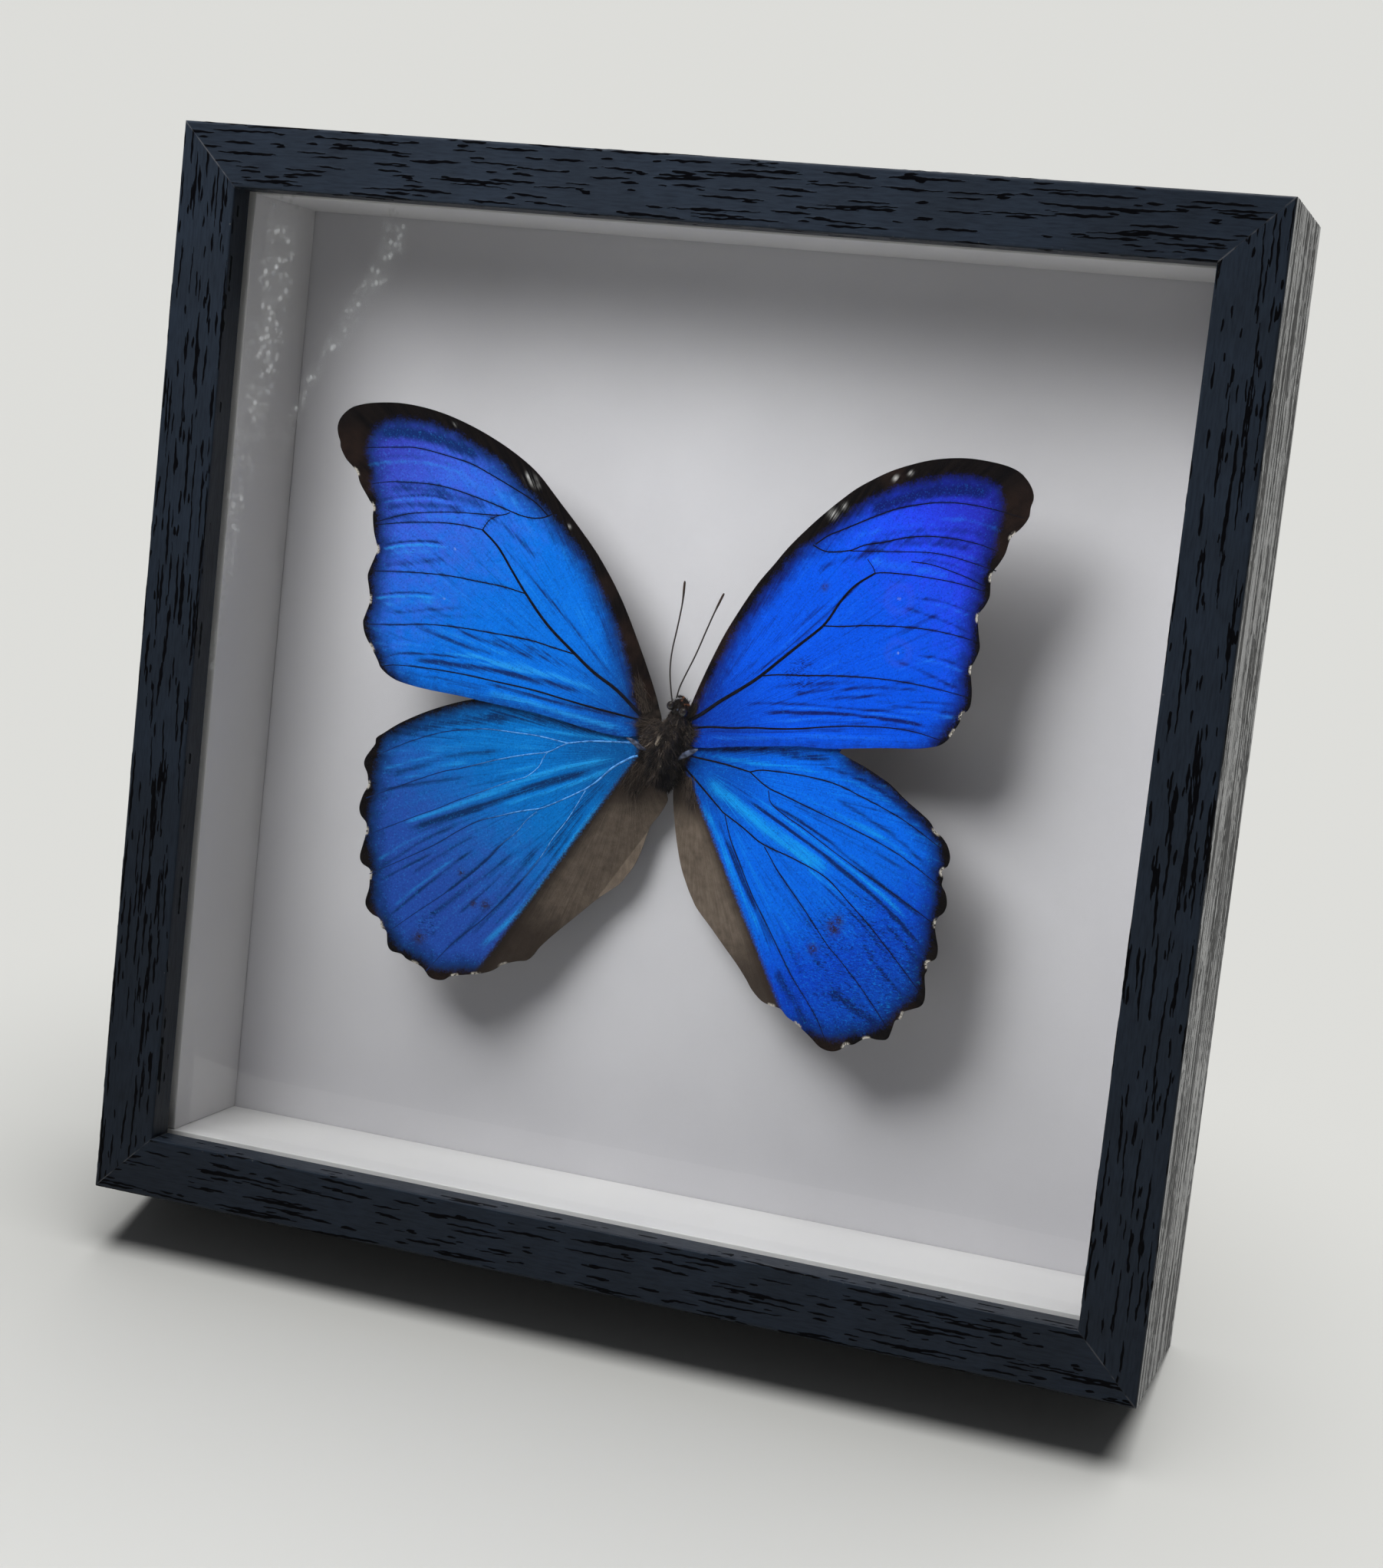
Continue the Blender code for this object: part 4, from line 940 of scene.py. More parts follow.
rightHind = {
    "name": "hindwing_right",
    "hub": (4, -6.5),
    "hind": ((4, -15), (-0.86, -0.51)),
    "lobeEarly": 1.9,
    "outline": [
        (1.6, -3.6), (8, -2.2), (20, 0), (34, 1), (35, 0.25), (38.5, -1), (41, -1.9), (44, -3.25),
        (46.5, -4.5), (50, -7), (53.5, -9.1), (55.5, -10.5), (56.75, -12), (58.5, -13.25),
        (59.75, -14.75), (60.5, -16.75), (60.25, -18.5), (59.5, -19.25), (59.1, -20), (59.6, -21),
        (59.5, -22.5), (60.5, -24), (61, -26), (60.6, -27.75), (59.5, -29), (59.1, -30.5), (59.5, -32.5),
        (60.25, -35), (60.15, -37), (59.1, -37.9), (58.4, -38.25), (58.6, -39.75), (58.25, -41),
        (58.75, -44), (58.75, -46), (58, -47.25), (56, -48.25), (54.75, -49), (54.4, -50.4), (53.25, -51),
        (52.75, -53), (52, -55), (50, -55.5), (48.5, -55.5), (47, -56), (45, -57.5), (43.5, -57.75),
        (42.75, -58.75), (41.25, -59.6), (39.5, -59.75), (37.75, -59.25), (36, -58), (34.5, -57),
        (32, -55.5), (30, -54.5), (28.5, -53.25), (26, -53), (24.5, -52.85), (23, -52.25), (21, -50.75),
        (19.5, -49), (17, -46.5), (13.5, -43.5), (10, -40.5), (6, -37.25), (4.25, -35), (2.8, -32.5),
        (1.2, -29), (-0.1, -24), (-0.9, -19), (-1.3, -15.5), (-1.3, -12.5), (-0.4, -8),
    ],
    "field": [
        (0, -4), (8, 0), (20, 3), (33, 3), (38, -1.6), (44, -4), (50, -7.8), (55, -11.6), (57.8, -14.6),
        (58.6, -17.4), (58.2, -20.6), (58.8, -24), (58.6, -27.6), (58, -31), (58.2, -34.4), (57.4, -37.4),
        (57, -41), (56.8, -44.6), (54.8, -47.4), (52.8, -50), (50.6, -52.6), (47.4, -54.6), (44, -55.8),
        (41, -57.4), (38, -57.2), (34.6, -56.6), (28, -56), (21.5, -48), (16.5, -41), (12.5, -34.5),
        (7.7, -27), (3, -19.5), (-1.5, -14), (-3, -8),
    ],
    "fringe": [(59.2, -19.8), (59.3, -30.2), (58.6, -38.6), (54.6, -49.8), (47.6, -55.9), (43.4, -58),
               (32.6, -55.8), (26.4, -53), (57, -12.2)],
    "violet": ((48, -16), (60, -34)),
    "deep": ((30, -26), (54, -54)),
    "dots": [],
    "rubGlints": [],
    "ripple": (45, -42, 22),
    "umber": [(40, -58.5, 6), (55, -50, 5)],
    "stains": [(37.3, -34, 0.9), (38.8, -33.2, 1.0), (38, -35, 1.4), (34, -39.8, 1.0), (31, -41.8, 0.4)],
    "veins": [
        (0.2, 0.16, [(1, -5), (4, -5.2), (10, -5.6), (16, -6.4)]),
        (0.15, 0.1, [(16, -6.4), (19, -5.6), (27, -5.4), (34, -5.9), (40, -7.5), (50, -11), (59, -15.6)]),
        (0.15, 0.1, [(16, -6.4), (20, -8.8), (24, -10), (32, -12.3), (40, -14.5), (50, -18),
            (59.6, -23)]),
        (0.12, 0.1, [(20.5, -9.5), (22, -12.5), (30, -16.5), (40, -21.5), (50, -26), (59.2, -30.6)]),
        (0.24, 0.16, [(0, -6.6), (5, -10.5), (11, -15.5)]),
        (0.17, 0.1, [(11, -15.5), (16, -18), (20.5, -20.5), (28, -22.5), (35, -25), (41, -29.5),
            (46, -33.5), (52, -39), (58.3, -45)]),
        (0.13, 0.1, [(21, -21), (25, -26), (31, -32), (37, -38.5), (40, -41), (46, -46.5), (52, -53)]),
        (0.13, 0.1, [(11.5, -16), (13.5, -21), (17, -27), (20, -32), (24, -37.5), (30, -46), (36, -53),
            (39.4, -58.4)]),
    ],
    "creases": [
        (-0.6, 1.1, [(6, -3.4), (16, -1.8), (26, -1.2), (35, -1.5)]),
        (0.45, 0.7, [(6, -4.3), (14, -4.5), (24, -4.1), (33, -4.4)]),
        (-0.45, 0.6, [(37, -3.2), (45, -6.2), (52, -9.6), (57, -13)]),
        (-0.35, 0.45, [(30, -2.6), (40, -4.4), (50, -8)]),
        (0.3, 0.5, [(34, -4.2), (42, -6.2), (50, -9.6)]),
        (-0.5, 0.5, [(34, -8.6), (42, -11.6), (50, -15.4), (57, -20)]),
        (0.35, 0.5, [(26, -8.9), (36, -12), (46, -15.2), (55, -19.6)]),
        (-0.35, 0.5, [(26, -11.8), (36, -14.8), (46, -18.4), (56, -23.6)]),
        (-0.6, 0.4, [(20, -11.6), (28, -14.6), (36, -18.4), (44, -22.8), (52, -27.4), (58.5, -31)]),
        (0.7, 0.5, [(15, -10.6), (24, -14.4), (32, -18.2), (40, -22.4), (48, -26.9), (55, -31.6)]),
        (-1.0, 0.5, [(13, -10.8), (20, -13.9), (27, -17.3), (34, -20.6), (42, -25), (50, -30),
            (58.5, -36.8)]),
        (-0.35, 0.3, [(10, -8.6), (18, -12), (26, -15.2)]),
        (0.7, 1.7, [(5, -8.6), (14, -13.4), (22, -17.6), (30, -21.4), (37, -25)]),
        (0.4, 0.6, [(30, -23.8), (38, -27.6), (45, -32)]),
        (-0.4, 0.5, [(33, -25.4), (40, -30), (46, -35), (53, -41)]),
        (-0.35, 0.8, [(22, -24), (28, -30.4), (34, -36.6)]),
        (-0.75, 0.9, [(38, -47.4), (44, -50), (51, -53.2)]),
        (-0.55, 1.2, [(26, -45), (31, -51), (35, -56)]),
        (-0.5, 0.5, [(44, -36.4), (49, -41.6), (55, -46.6)]),
        (-0.5, 0.6, [(12, -20), (16, -27), (21, -34.6), (26, -42)]),
        (-0.45, 0.5, [(48, -31.6), (53, -35.4), (58, -40)]),
        (0.35, 0.5, [(14, -13.6), (24, -19.3), (33, -23.6)]),
        (0.5, 0.8, [(5, -13.4), (9, -18.4), (13.6, -25.4), (18, -32.4), (23, -40)]),
        (-0.45, 0.4, [(9, -15.8), (12.6, -21.4), (16.6, -28), (21, -35)]),
        (0.35, 0.6, [(13, -17.6), (18, -24.6), (24, -32), (30, -39)]),
        (-0.4, 0.5, [(24, -33), (29, -40.6), (33, -46.4)]),
    ],
}


def nearLine(points, line):
    # each point's distance to a line of straight runs, and its place along it from 0 to 1
    start, step = line[:-1], np.diff(line, axis=0)
    long = np.linalg.norm(step, axis=1)
    run = np.concatenate(([0], np.cumsum(long)))
    away, along = np.empty(len(points)), np.empty(len(points))
    for block in np.array_split(np.arange(len(points)), max(1, len(points) * len(step) // 1500000)):
        rel = points[block, None] - start[None]
        share = np.clip((rel * step).sum(2) / long**2, 0, 1)
        gap = np.linalg.norm(rel - share[..., None] * step, axis=2)
        best = gap.argmin(1)
        rows = np.arange(len(block))
        away[block] = gap[rows, best]
        along[block] = (run[best] + share[rows, best] * long[best]) / run[-1]
    return away, along


def insideLine(points, ring):
    # True within a closed ring: a level ray to the right crosses it an odd number of times
    low, high = ring, np.roll(ring, -1, 0)
    within = np.zeros(len(points), bool)
    for (x0, z0), (x1, z1) in zip(low, high):
        cross = (z0 > points[:, 1]) != (z1 > points[:, 1])
        at = x0 + (points[:, 1] - z0) / (z1 - z0 if z1 != z0 else 1) * (x1 - x0)
        within ^= cross & (points[:, 0] < at)
    return within


def signedDistance(points, ring):
    # distance to a closed ring, above 0 within it
    closed = np.vstack((ring, ring[:1]))
    away = nearLine(points, closed)[0]
    return np.where(insideLine(points, ring), away, -away)


def gradient(points, ends):
    # 0 at the first end to 1 at the second, level across
    start, finish = np.array(ends, float)
    way = finish - start
    return np.clip((points - start) @ way / (way @ way), 0, 1)


def creaseField(points, creases):
    # the sum of every crease's tone, each a bell across it that fades out at both ends, and the
    # same sum with each bell's height kept in proportion to its width
    total, relief = np.zeros(len(points)), np.zeros(len(points))
    for tone, width, knots in creases:
        line = smoothLine(knots, 4 * len(knots))
        low, high = line.min(0) - 3 * width, line.max(0) + 3 * width
        near = np.flatnonzero(((points > low) & (points < high)).all(1))
        away, along = nearLine(points[near], line)
        ends = smoothStep(0, 0.14, along) * smoothStep(1, 0.86, along)
        bell = tone * np.exp(-((away / width) ** 2)) * ends
        total[near] += bell
        relief[near] += bell * min(width, wing["widestRelief"])
    return total, relief


def wingDepth(points, spec):
    # the wing's level behind the front face: it comes forward away from the body, the forewing's
    # tip a little more; a hindwing's inner lobe turns back past its fold; creases stand and lie
    x, z = points[:, 0], points[:, 1]
    out = np.abs(x - wing["bodyX"])
    if spec["hind"]:
        (foldX, foldZ), (wayX, wayZ) = spec["hind"]
        beyond = (x - foldX) * wayX + (z - foldZ) * wayZ
        level = wing["hindLevel"] - wing["rise"] * out + wing["lobeTurn"] * np.clip(beyond, 0, 10)
    else:
        tip = np.maximum(0, np.hypot(out, z) - 50) / 42
        level = wing["foreLevel"] - wing["rise"] * out - 0.045 * np.maximum(z, -5) - 1.5 * tip**2
    ripple = 0.10 * np.sin(x * 0.31 + z * 0.12) * np.sin(z * 0.23 - x * 0.07)
    return level + ripple - wing["creaseRelief"] * creaseField(points, spec["creases"])[1]


def ringShares(count):
    # rings lie closer together towards the margin
    t = np.arange(1, count + 1) / count
    return 1 - (1 - t) ** 1.35


def veinTubes(spec, start):
    # six-sided tubes that thin towards their tips, half sunk in the wing, with closed ends
    points, faces = [], []
    turn = np.arange(6) * math.tau / 6
    for thick, thin, knots in spec["veins"]:
        long = np.linalg.norm(np.diff(np.array(knots, float), axis=0), axis=1).sum()
        count = max(6, int(long / 0.9))
        line = smoothLine(knots, count)
        level = wingDepth(line, spec)
        way = unitRows(np.gradient(line, axis=0))
        across = np.stack((-way[:, 1], way[:, 0]), 1)
        radius = wing["veinGirth"] * np.linspace(thick, thin, count)[:, None]
        flat = across[:, None] * (np.cos(turn) * radius)[..., None]
        y = level[:, None] + 0.75 * np.sin(turn) * radius
        x, z = line[:, None, 0] + flat[..., 0], line[:, None, 1] + flat[..., 1]
        points.append(np.stack((x, y, z), -1).reshape(-1, 3))
        faces.append(gridFaces(count, 6, closeColumns=True, start=start))
        cap = np.array([[0, 1, 2, 3], [0, 3, 4, 5]])
        faces += [cap + start, cap + start + (count - 1) * 6]
        start += count * 6
    return np.concatenate(points), np.concatenate(faces)


# colours that all four wings share
scales = {
    "night": ((0.0014, 0.0012, 0.0016), (0.0065, 0.0045, 0.004)),
    "umber": (0.015, 0.0085, 0.0065),
    "dot": (0.30, 0.42, 0.85),
    "halo": (0.12, 0.09, 0.62),
    "stain": (0.03, 0.02, 0.03),
    # pale of bare membrane where scales are rubbed off, with a painted highlight
    "paleSpeck": (0.40, 0.39, 0.38),
    "root": ((0.005, 0.004, 0.0035), (0.024, 0.018, 0.015)),
    "fringe": (0.46, 0.42, 0.37),
    "lobe": (0.19, 0.150, 0.118),
    "lobeDark": (0.026, 0.018, 0.014),
    "underside": ((0.045, 0.03, 0.022), (0.16, 0.12, 0.08)),
    "undersideSpeck": (0.02, 0.015, 0.012),
    "metal": 0.35,
}


def centred(tree, value, swing):
    # swing times a noise's distance from its middle, a half
    return maths(tree, "MULTIPLY_ADD", value, swing, -swing / 2)


def blueScales(tree, tints, grain, coarse, radial, ripple):
    # near to far by the violet share and deeper by the deep one, then tinted in turn: darker at
    # the root and along the margin, and lighter or darker by tone = crease + streak + ripple, which
    # is painted highlight and painted shade of the folds, pleats and ripples, with some random cloud
    violet = maths(tree, "ADD", mark(tree, "violet"), centred(tree, coarse, 0.7))
    blue = blendColour(tree, between(tree, violet, 0.05, 1.0), tints["near"], tints["far"])
    edge = maths(tree, "ADD", mark(tree, "field"), centred(tree, coarse, 3.0))
    calm = between(tree, mark(tree, "violet"), 0.2, 0.8, 1.0, 0.45)
    streak = maths(tree, "MULTIPLY", centred(tree, radial, 2.0), calm)
    tone = maths(tree, "ADD", mark(tree, "tone"), centred(tree, coarse, 0.5))
    tone = maths(tree, "ADD", tone, maths(tree, "ADD", streak, ripple))
    clots = between(tree, noise(tree, casePlace(tree), 1.8, 3, 0.7), 0.34, 0.52)
    for share, tint in (
        (between(tree, mark(tree, "deep"), 0, 1, 0, 0.8), tints["deep"]),
        (between(tree, mark(tree, "out"), 22, 4, 0, 0.5), tints["shade"]),
        (between(tree, edge, 4.8, 0.0, 0, 0.85), tints["shade"]),
        # painted highlight where tone is above 0, painted shade where it is below
        (between(tree, tone, 0.05, 1.0, 0, 0.75), tints["light"]),
        (between(tree, tone, 0.0, -0.85, 0, 0.97), tints["shade"]),
        (between(tree, grain, 0.50, 0.72, 0, 0.45), tints["shade"]),
        (between(tree, grain, 0.46, 0.28, 0, 0.3), tints["light"]),
        (between(tree, mark(tree, "dot"), 0.5, 1.0, 0, 0.7), scales["dot"]),
        (between(tree, mark(tree, "halo"), 0, 1, 0, 0.08), scales["halo"]),
        (maths(tree, "MULTIPLY", mark(tree, "stain"), clots), scales["stain"]),
    ):
        blue = blendColour(tree, share, blue, tint)
    return blue


def darkScales(tree, coarse, radial):
    # the dark margin, browner in places; rubbed spots are pale as bare membrane with a painted highlight
    night = blendColour(tree, between(tree, radial, 0.3, 0.7), *scales["night"])
    umber = maths(tree, "MULTIPLY", mark(tree, "umber"), between(tree, coarse, 0.3, 0.7, 0.4, 1.0))
    night = blendColour(tree, umber, night, scales["umber"])
    rubGlint = maths(tree, "MULTIPLY", mark(tree, "rubGlint"), between(tree, radial, 0.4, 0.62))
    return blendColour(tree, rubGlint, night, scales["paleSpeck"])


def lobeScales(tree, coarse, radial):
    # a hindwing's inner lobe: downy brown, dark along its fold, by the body and at its tip
    cloud = maths(tree, "MULTIPLY_ADD", coarse, 0.6, -0.05)
    downy = between(tree, maths(tree, "MULTIPLY_ADD", radial, 0.5, cloud), 0.1, 0.9, 0.25)
    brown = blendColour(tree, downy, scales["lobeDark"], scales["lobe"])
    fold = between(tree, mark(tree, "lobe"), 0, 3.5)
    brown = blendColour(tree, fold, scales["lobeDark"], brown)
    start, tip = between(tree, mark(tree, "out"), 15, 7), between(tree, mark(tree, "out"), 33, 46)
    ends = maths(tree, "MULTIPLY", maths(tree, "MAXIMUM", start, tip), 0.8)
    return blendColour(tree, ends, brown, scales["lobeDark"])


def wingFront(spec, tints):
    # layers of scales: blue with a metal sheen, dark where field + grain falls below 0, brown on
    # the lobe and at the root, and pale on the fringe
    finish, tree, shader = newFinish("scales_" + spec["name"])
    where = casePlace(tree)
    grain, coarse = noise(tree, where, 2.6, 3, 0.7), noise(tree, where, 0.5, 3, 0.6)
    fan = node(tree, "ShaderNodeMapping", {
        "Vector": node(tree, "ShaderNodeUVMap", uv_map="fan").outputs["UV"], "Scale": (150, 3.5, 1)
    })
    radial = noise(tree, fan.outputs["Vector"], 1.0, 3, 0.6)
    wave = noise(tree, casePlace(tree, (0.5, 1, 1.7)), 1.1, 2, 0.5, 2.2)
    ripple = maths(tree, "MULTIPLY", mark(tree, "ripple"), maths(tree, "MULTIPLY_ADD", wave, 2.6, -1.4))
    fray = maths(tree, "ADD", mark(tree, "field"), centred(tree, grain, 3.4))
    fray = maths(tree, "ADD", fray, centred(tree, coarse, 1.6))
    dark = between(tree, fray, 1.5, -0.9)
    colour = blueScales(tree, tints, grain, coarse, radial, ripple)
    colour = blendColour(tree, dark, colour, darkScales(tree, coarse, radial))
    if spec["hind"]:
        past = maths(tree, "ADD", mark(tree, "lobe"), centred(tree, grain, 1.6))
        lobe = between(tree, past, -0.5, 0.9)
        colour = blendColour(tree, lobe, colour, lobeScales(tree, coarse, radial))
        dark = maths(tree, "MAXIMUM", dark, lobe)
    root = maths(tree, "ADD", mark(tree, "root"), centred(tree, grain, 0.6))
    root = between(tree, root, 0.3, 0.9)
    brown = blendColour(tree, between(tree, radial, 0.3, 0.7), *scales["root"])
    colour = blendColour(tree, root, colour, brown)
    dark = maths(tree, "MAXIMUM", dark, root)
    fringe = maths(tree, "MULTIPLY", mark(tree, "fringe"), between(tree, grain, 0.38, 0.5))
    colour = blendColour(tree, fringe, colour, scales["fringe"])
    tree.links.new(colour, shader.inputs["Base Color"])
    tree.links.new(between(tree, dark, 0, 1, scales["metal"], 0.0), shader.inputs["Metallic"])
    tree.links.new(between(tree, dark, 0, 1, 0.48, 0.5), shader.inputs["Roughness"])
    shader.inputs["Specular IOR Level"].default_value = 0.05
    height = maths(tree, "ADD", grain, maths(tree, "MULTIPLY", radial, 1.5))
    height = maths(tree, "ADD", height, maths(tree, "MULTIPLY", ripple, 0.8))
    addBump(tree, shader, height, 0.07)
    return finish


def wingRear(spec):
    # the underside: brown with paler clouded bands
    finish, tree, shader = newFinish("underside_" + spec["name"], Roughness=0.7)
    where = casePlace(tree)
    band = noise(tree, where, 0.11, 3, 0.6, 0.8)
    brown = blendColour(tree, between(tree, band, 0.4, 0.62), *scales["underside"])
    speck = between(tree, noise(tree, where, 3, 3), 0.4, 0.7, 0, 0.4)
    brown = blendColour(tree, speck, brown, scales["undersideSpeck"])
    tree.links.new(brown, shader.inputs["Base Color"])
    return finish


def veinFinish(spec, tints):
    # a clouded vein colour that gives way to the tip's as the distance from the hub grows
    finish, tree, shader = newFinish("veins_" + spec["name"], Roughness=0.6, Specular_IOR_Level=0.12)
    cloud = between(tree, noise(tree, casePlace(tree), 1.2, 3), 0.35, 0.65)
    colour = blendColour(tree, cloud, tints["vein"], tints["veinDark"])
    fade = between(tree, mark(tree, "out"), *tints["veinFade"])
    colour = blendColour(tree, fade, colour, tints["veinTip"])
    tree.links.new(colour, shader.inputs["Base Color"])
    return finish


def spotMark(flat, spots, ringed=False):
    # the highest of the spots' bells exp(-(away / reach)^2), or of their rings round a radius
    total = np.zeros(len(flat))
    for spot in spots:
        away = np.linalg.norm(flat - spot[:2], axis=1)
        bell = (away - spot[3]) / 0.8 if ringed else away / spot[2]
        total = np.maximum(total, np.exp(-(bell**2)))
    return total


def wingMarks(spec, flat, edge, beside):
    # the numbers that the scales' finish reads at each point
    hub = np.array(spec["hub"], float)
    ring = smoothLine(spec["field"], 130, closed=True)
    # each vein lies in a line of painted shade
    lines = [(beside, 0.28, knots) for _, _, knots in spec["veins"]]
    marks = {
        "field": np.clip(signedDistance(flat, ring), -4, 8),
        "tone": np.clip(creaseField(flat, spec["creases"] + lines)[0], -1.3, 1.2),
        "violet": gradient(flat, spec["violet"]),
        "out": np.linalg.norm(flat - hub, axis=1),
        "deep": gradient(flat, spec["deep"]),
        "lobe": np.full(len(flat), -5.0),
        "dot": spotMark(flat, spec["dots"]),
        "halo": spotMark(flat, spec["dots"], ringed=True),
        "rubGlint": spotMark(flat, spec["rubGlints"]),
        "stain": spotMark(flat, spec["stains"]),
    }
    if spec["hind"]:
        fold, way = np.array(spec["hind"])
        marks["lobe"] = (flat - fold) @ way + spec["lobeEarly"]
    x, z, reach = spec["ripple"]
    marks["ripple"] = smoothStep(reach, 0.4 * reach, np.hypot(flat[:, 0] - x, flat[:, 1] - z))
    marks["umber"] = np.zeros(len(flat))
    for x, z, reach in spec["umber"]:
        away = np.hypot(flat[:, 0] - x, flat[:, 1] - z)
        marks["umber"] = np.maximum(marks["umber"], smoothStep(reach, 0.3 * reach, away))
    away = np.hypot(flat[:, 0] - wing["bodyX"] + 0.6, 0.6 * (flat[:, 1] + 3))
    marks["root"] = smoothStep(8.2, 4.4, away)
    rim = nearLine(flat, np.vstack((edge, edge[:1])))[0]
    notch = spotMark(flat, [(x, z, math.sqrt(1.3)) for x, z in spec["fringe"]])
    marks["fringe"] = smoothStep(0.4, 0.7, notch) * smoothStep(0.6, 0.2, rim)
    return marks


def buildWing(spec, tints):
    # a fan: rays from a hub by the body to the outline, crossed by rings; the front has many
    # rings and the rear few, and the two share the margin through a thin rim
    hub = np.array(spec["hub"], float)
    rays = wing["rays"]
    edge = smoothLine(spec["outline"], rays, closed=True)
    front, rear = ringShares(wing["rings"]), np.linspace(0, 1, wing["backRings"] + 1)[1:]
    flat = [hub + share * (edge - hub) for share in np.concatenate((front, rear[::-1]))]
    flat = np.vstack((hub[None], *flat, hub[None]))
    level = wingDepth(flat, spec)
    isFront = np.arange(len(flat)) <= rays * wing["rings"]
    out = np.concatenate(([0], np.repeat(np.concatenate((front, rear[::-1])), rays), [0]))
    thin = np.where(isFront, -wing["thick"] / 2, wing["thick"] / 2 + wing["rearDrop"] * (1 - out**4))
    points = np.stack((flat[:, 0], level + thin, flat[:, 1]), 1)
    rings = wing["rings"] + wing["backRings"]
    quads = gridFaces(rings, rays, closeColumns=True, start=1)
    ray = np.arange(rays)
    ahead = (ray + 1) % rays
    last = 1 + (rings - 1) * rays
    caps = (
        np.stack((0 * ray, 1 + ahead, 1 + ray), 1),
        np.stack((0 * ray + len(flat) - 1, last + ray, last + ahead), 1),
    )
    tubes, tubeFaces = veinTubes(spec, len(flat))
    onRear = (np.arange(len(quads)) >= wing["rings"] * rays).astype(int)
    finishOf = np.concatenate((0 * ray, 0 * ray + 1, onRear, np.full(len(tubeFaces), 2)))
    marks = wingMarks(spec, np.vstack((flat, tubes[:, [0, 2]])), edge, tints["beside"])
    finishes = [wingFront(spec, tints), wingRear(spec), veinFinish(spec, tints)]
    made = makePiece(
        "wing_" + spec["name"], np.vstack((points, tubes)), (*caps, quads, tubeFaces), finishes,
        "wing", replaced=[spec["name"]], marks=marks, finishOf=finishOf, sharp=70,
    )
    fanMap(made.data, rays)
    print(spec["name"], "ready")


def fanMap(mesh, rays):
    # the fan's own map: U is the ray, V the share of the way out to the margin
    layer = mesh.uv_layers.new(name="fan")
    corner = np.empty(len(mesh.loops), np.int32)
    mesh.loops.foreach_get("vertex_index", corner)
    u, v = np.zeros(len(corner)), np.zeros(len(corner))
    fan = (corner >= 1) & (corner <= rays * (wing["rings"] + wing["backRings"]))
    ray, ring = (corner - 1) % rays, (corner - 1) // rays
    rear = np.linspace(0, 1, wing["backRings"] + 1)[1:][::-1]
    shares = np.concatenate((ringShares(wing["rings"]), rear))
    u[fan] = ray[fan] / rays
    v[fan] = shares[ring[fan]]
    start = np.empty(len(mesh.polygons), np.int32)
    total = np.empty(len(mesh.polygons), np.int32)
    mesh.polygons.foreach_get("loop_start", start)
    mesh.polygons.foreach_get("loop_total", total)
    owner = np.repeat(np.arange(len(start)), total)
    widest = np.zeros(len(start))
    np.maximum.at(widest, owner, np.where(fan, u, 0))
    wraps = (widest[owner] > 0.9) & fan & (u < 0.1)
    u[wraps] += 1
    layer.data.foreach_set("uv", np.stack((u, v), 1).astype(np.float32).ravel())


darkVeins = {
    "vein": (0.006, 0.007, 0.014),
    "veinDark": (0.002, 0.002, 0.004),
    "veinFade": (0, 90),  # distance from the hub where the vein takes its tip's colour
    "veinTip": (0.001, 0.002, 0.006),
    "beside": -0.55,  # tone along each vein: painted shade of the furrow it lies in
}
# veins of the left hindwing: the pale azure near the hub is a painted highlight, dark towards the margin
glintVeins = {
    "vein": (0.10, 0.32, 0.72),
    "veinDark": (0.03, 0.12, 0.34),
    "veinFade": (24, 38),
    "veinTip": (0.004, 0.02, 0.10),
    "beside": -0.3,
}
# light is the colour of the painted highlight on folds; shade is their painted shade, and also darkens the
# root, the margin and the grain
blues = {
    "forewing_left": {
        "near": (0.001, 0.185, 0.86), "far": (0.060, 0.120, 0.80), "deep": (0.035, 0.035, 0.40),
        "light": (0.03, 0.42, 1.0), "shade": (0.006, 0.026, 0.15), **darkVeins,
    },
    "forewing_right": {
        "near": (0.001, 0.100, 0.88), "far": (0.022, 0.058, 0.96), "deep": (0.022, 0.018, 0.34),
        "light": (0.02, 0.24, 1.0), "shade": (0.005, 0.012, 0.14), **darkVeins,
    },
    "hindwing_left": {
        "near": (0.001, 0.185, 0.64), "far": (0.038, 0.080, 0.44), "deep": (0.018, 0.085, 0.45),
        "light": (0.02, 0.40, 0.95), "shade": (0.004, 0.028, 0.12), **glintVeins,
    },
    "hindwing_right": {
        "near": (0.001, 0.150, 0.90), "far": (0.002, 0.048, 0.78), "deep": (0.004, 0.085, 0.46),
        "light": (0.01, 0.42, 1.0), "shade": (0.003, 0.018, 0.13), **darkVeins,
    },
}
for spec in (leftFore, rightFore, leftHind, rightHind):
    buildWing(spec, blues[spec["name"]])

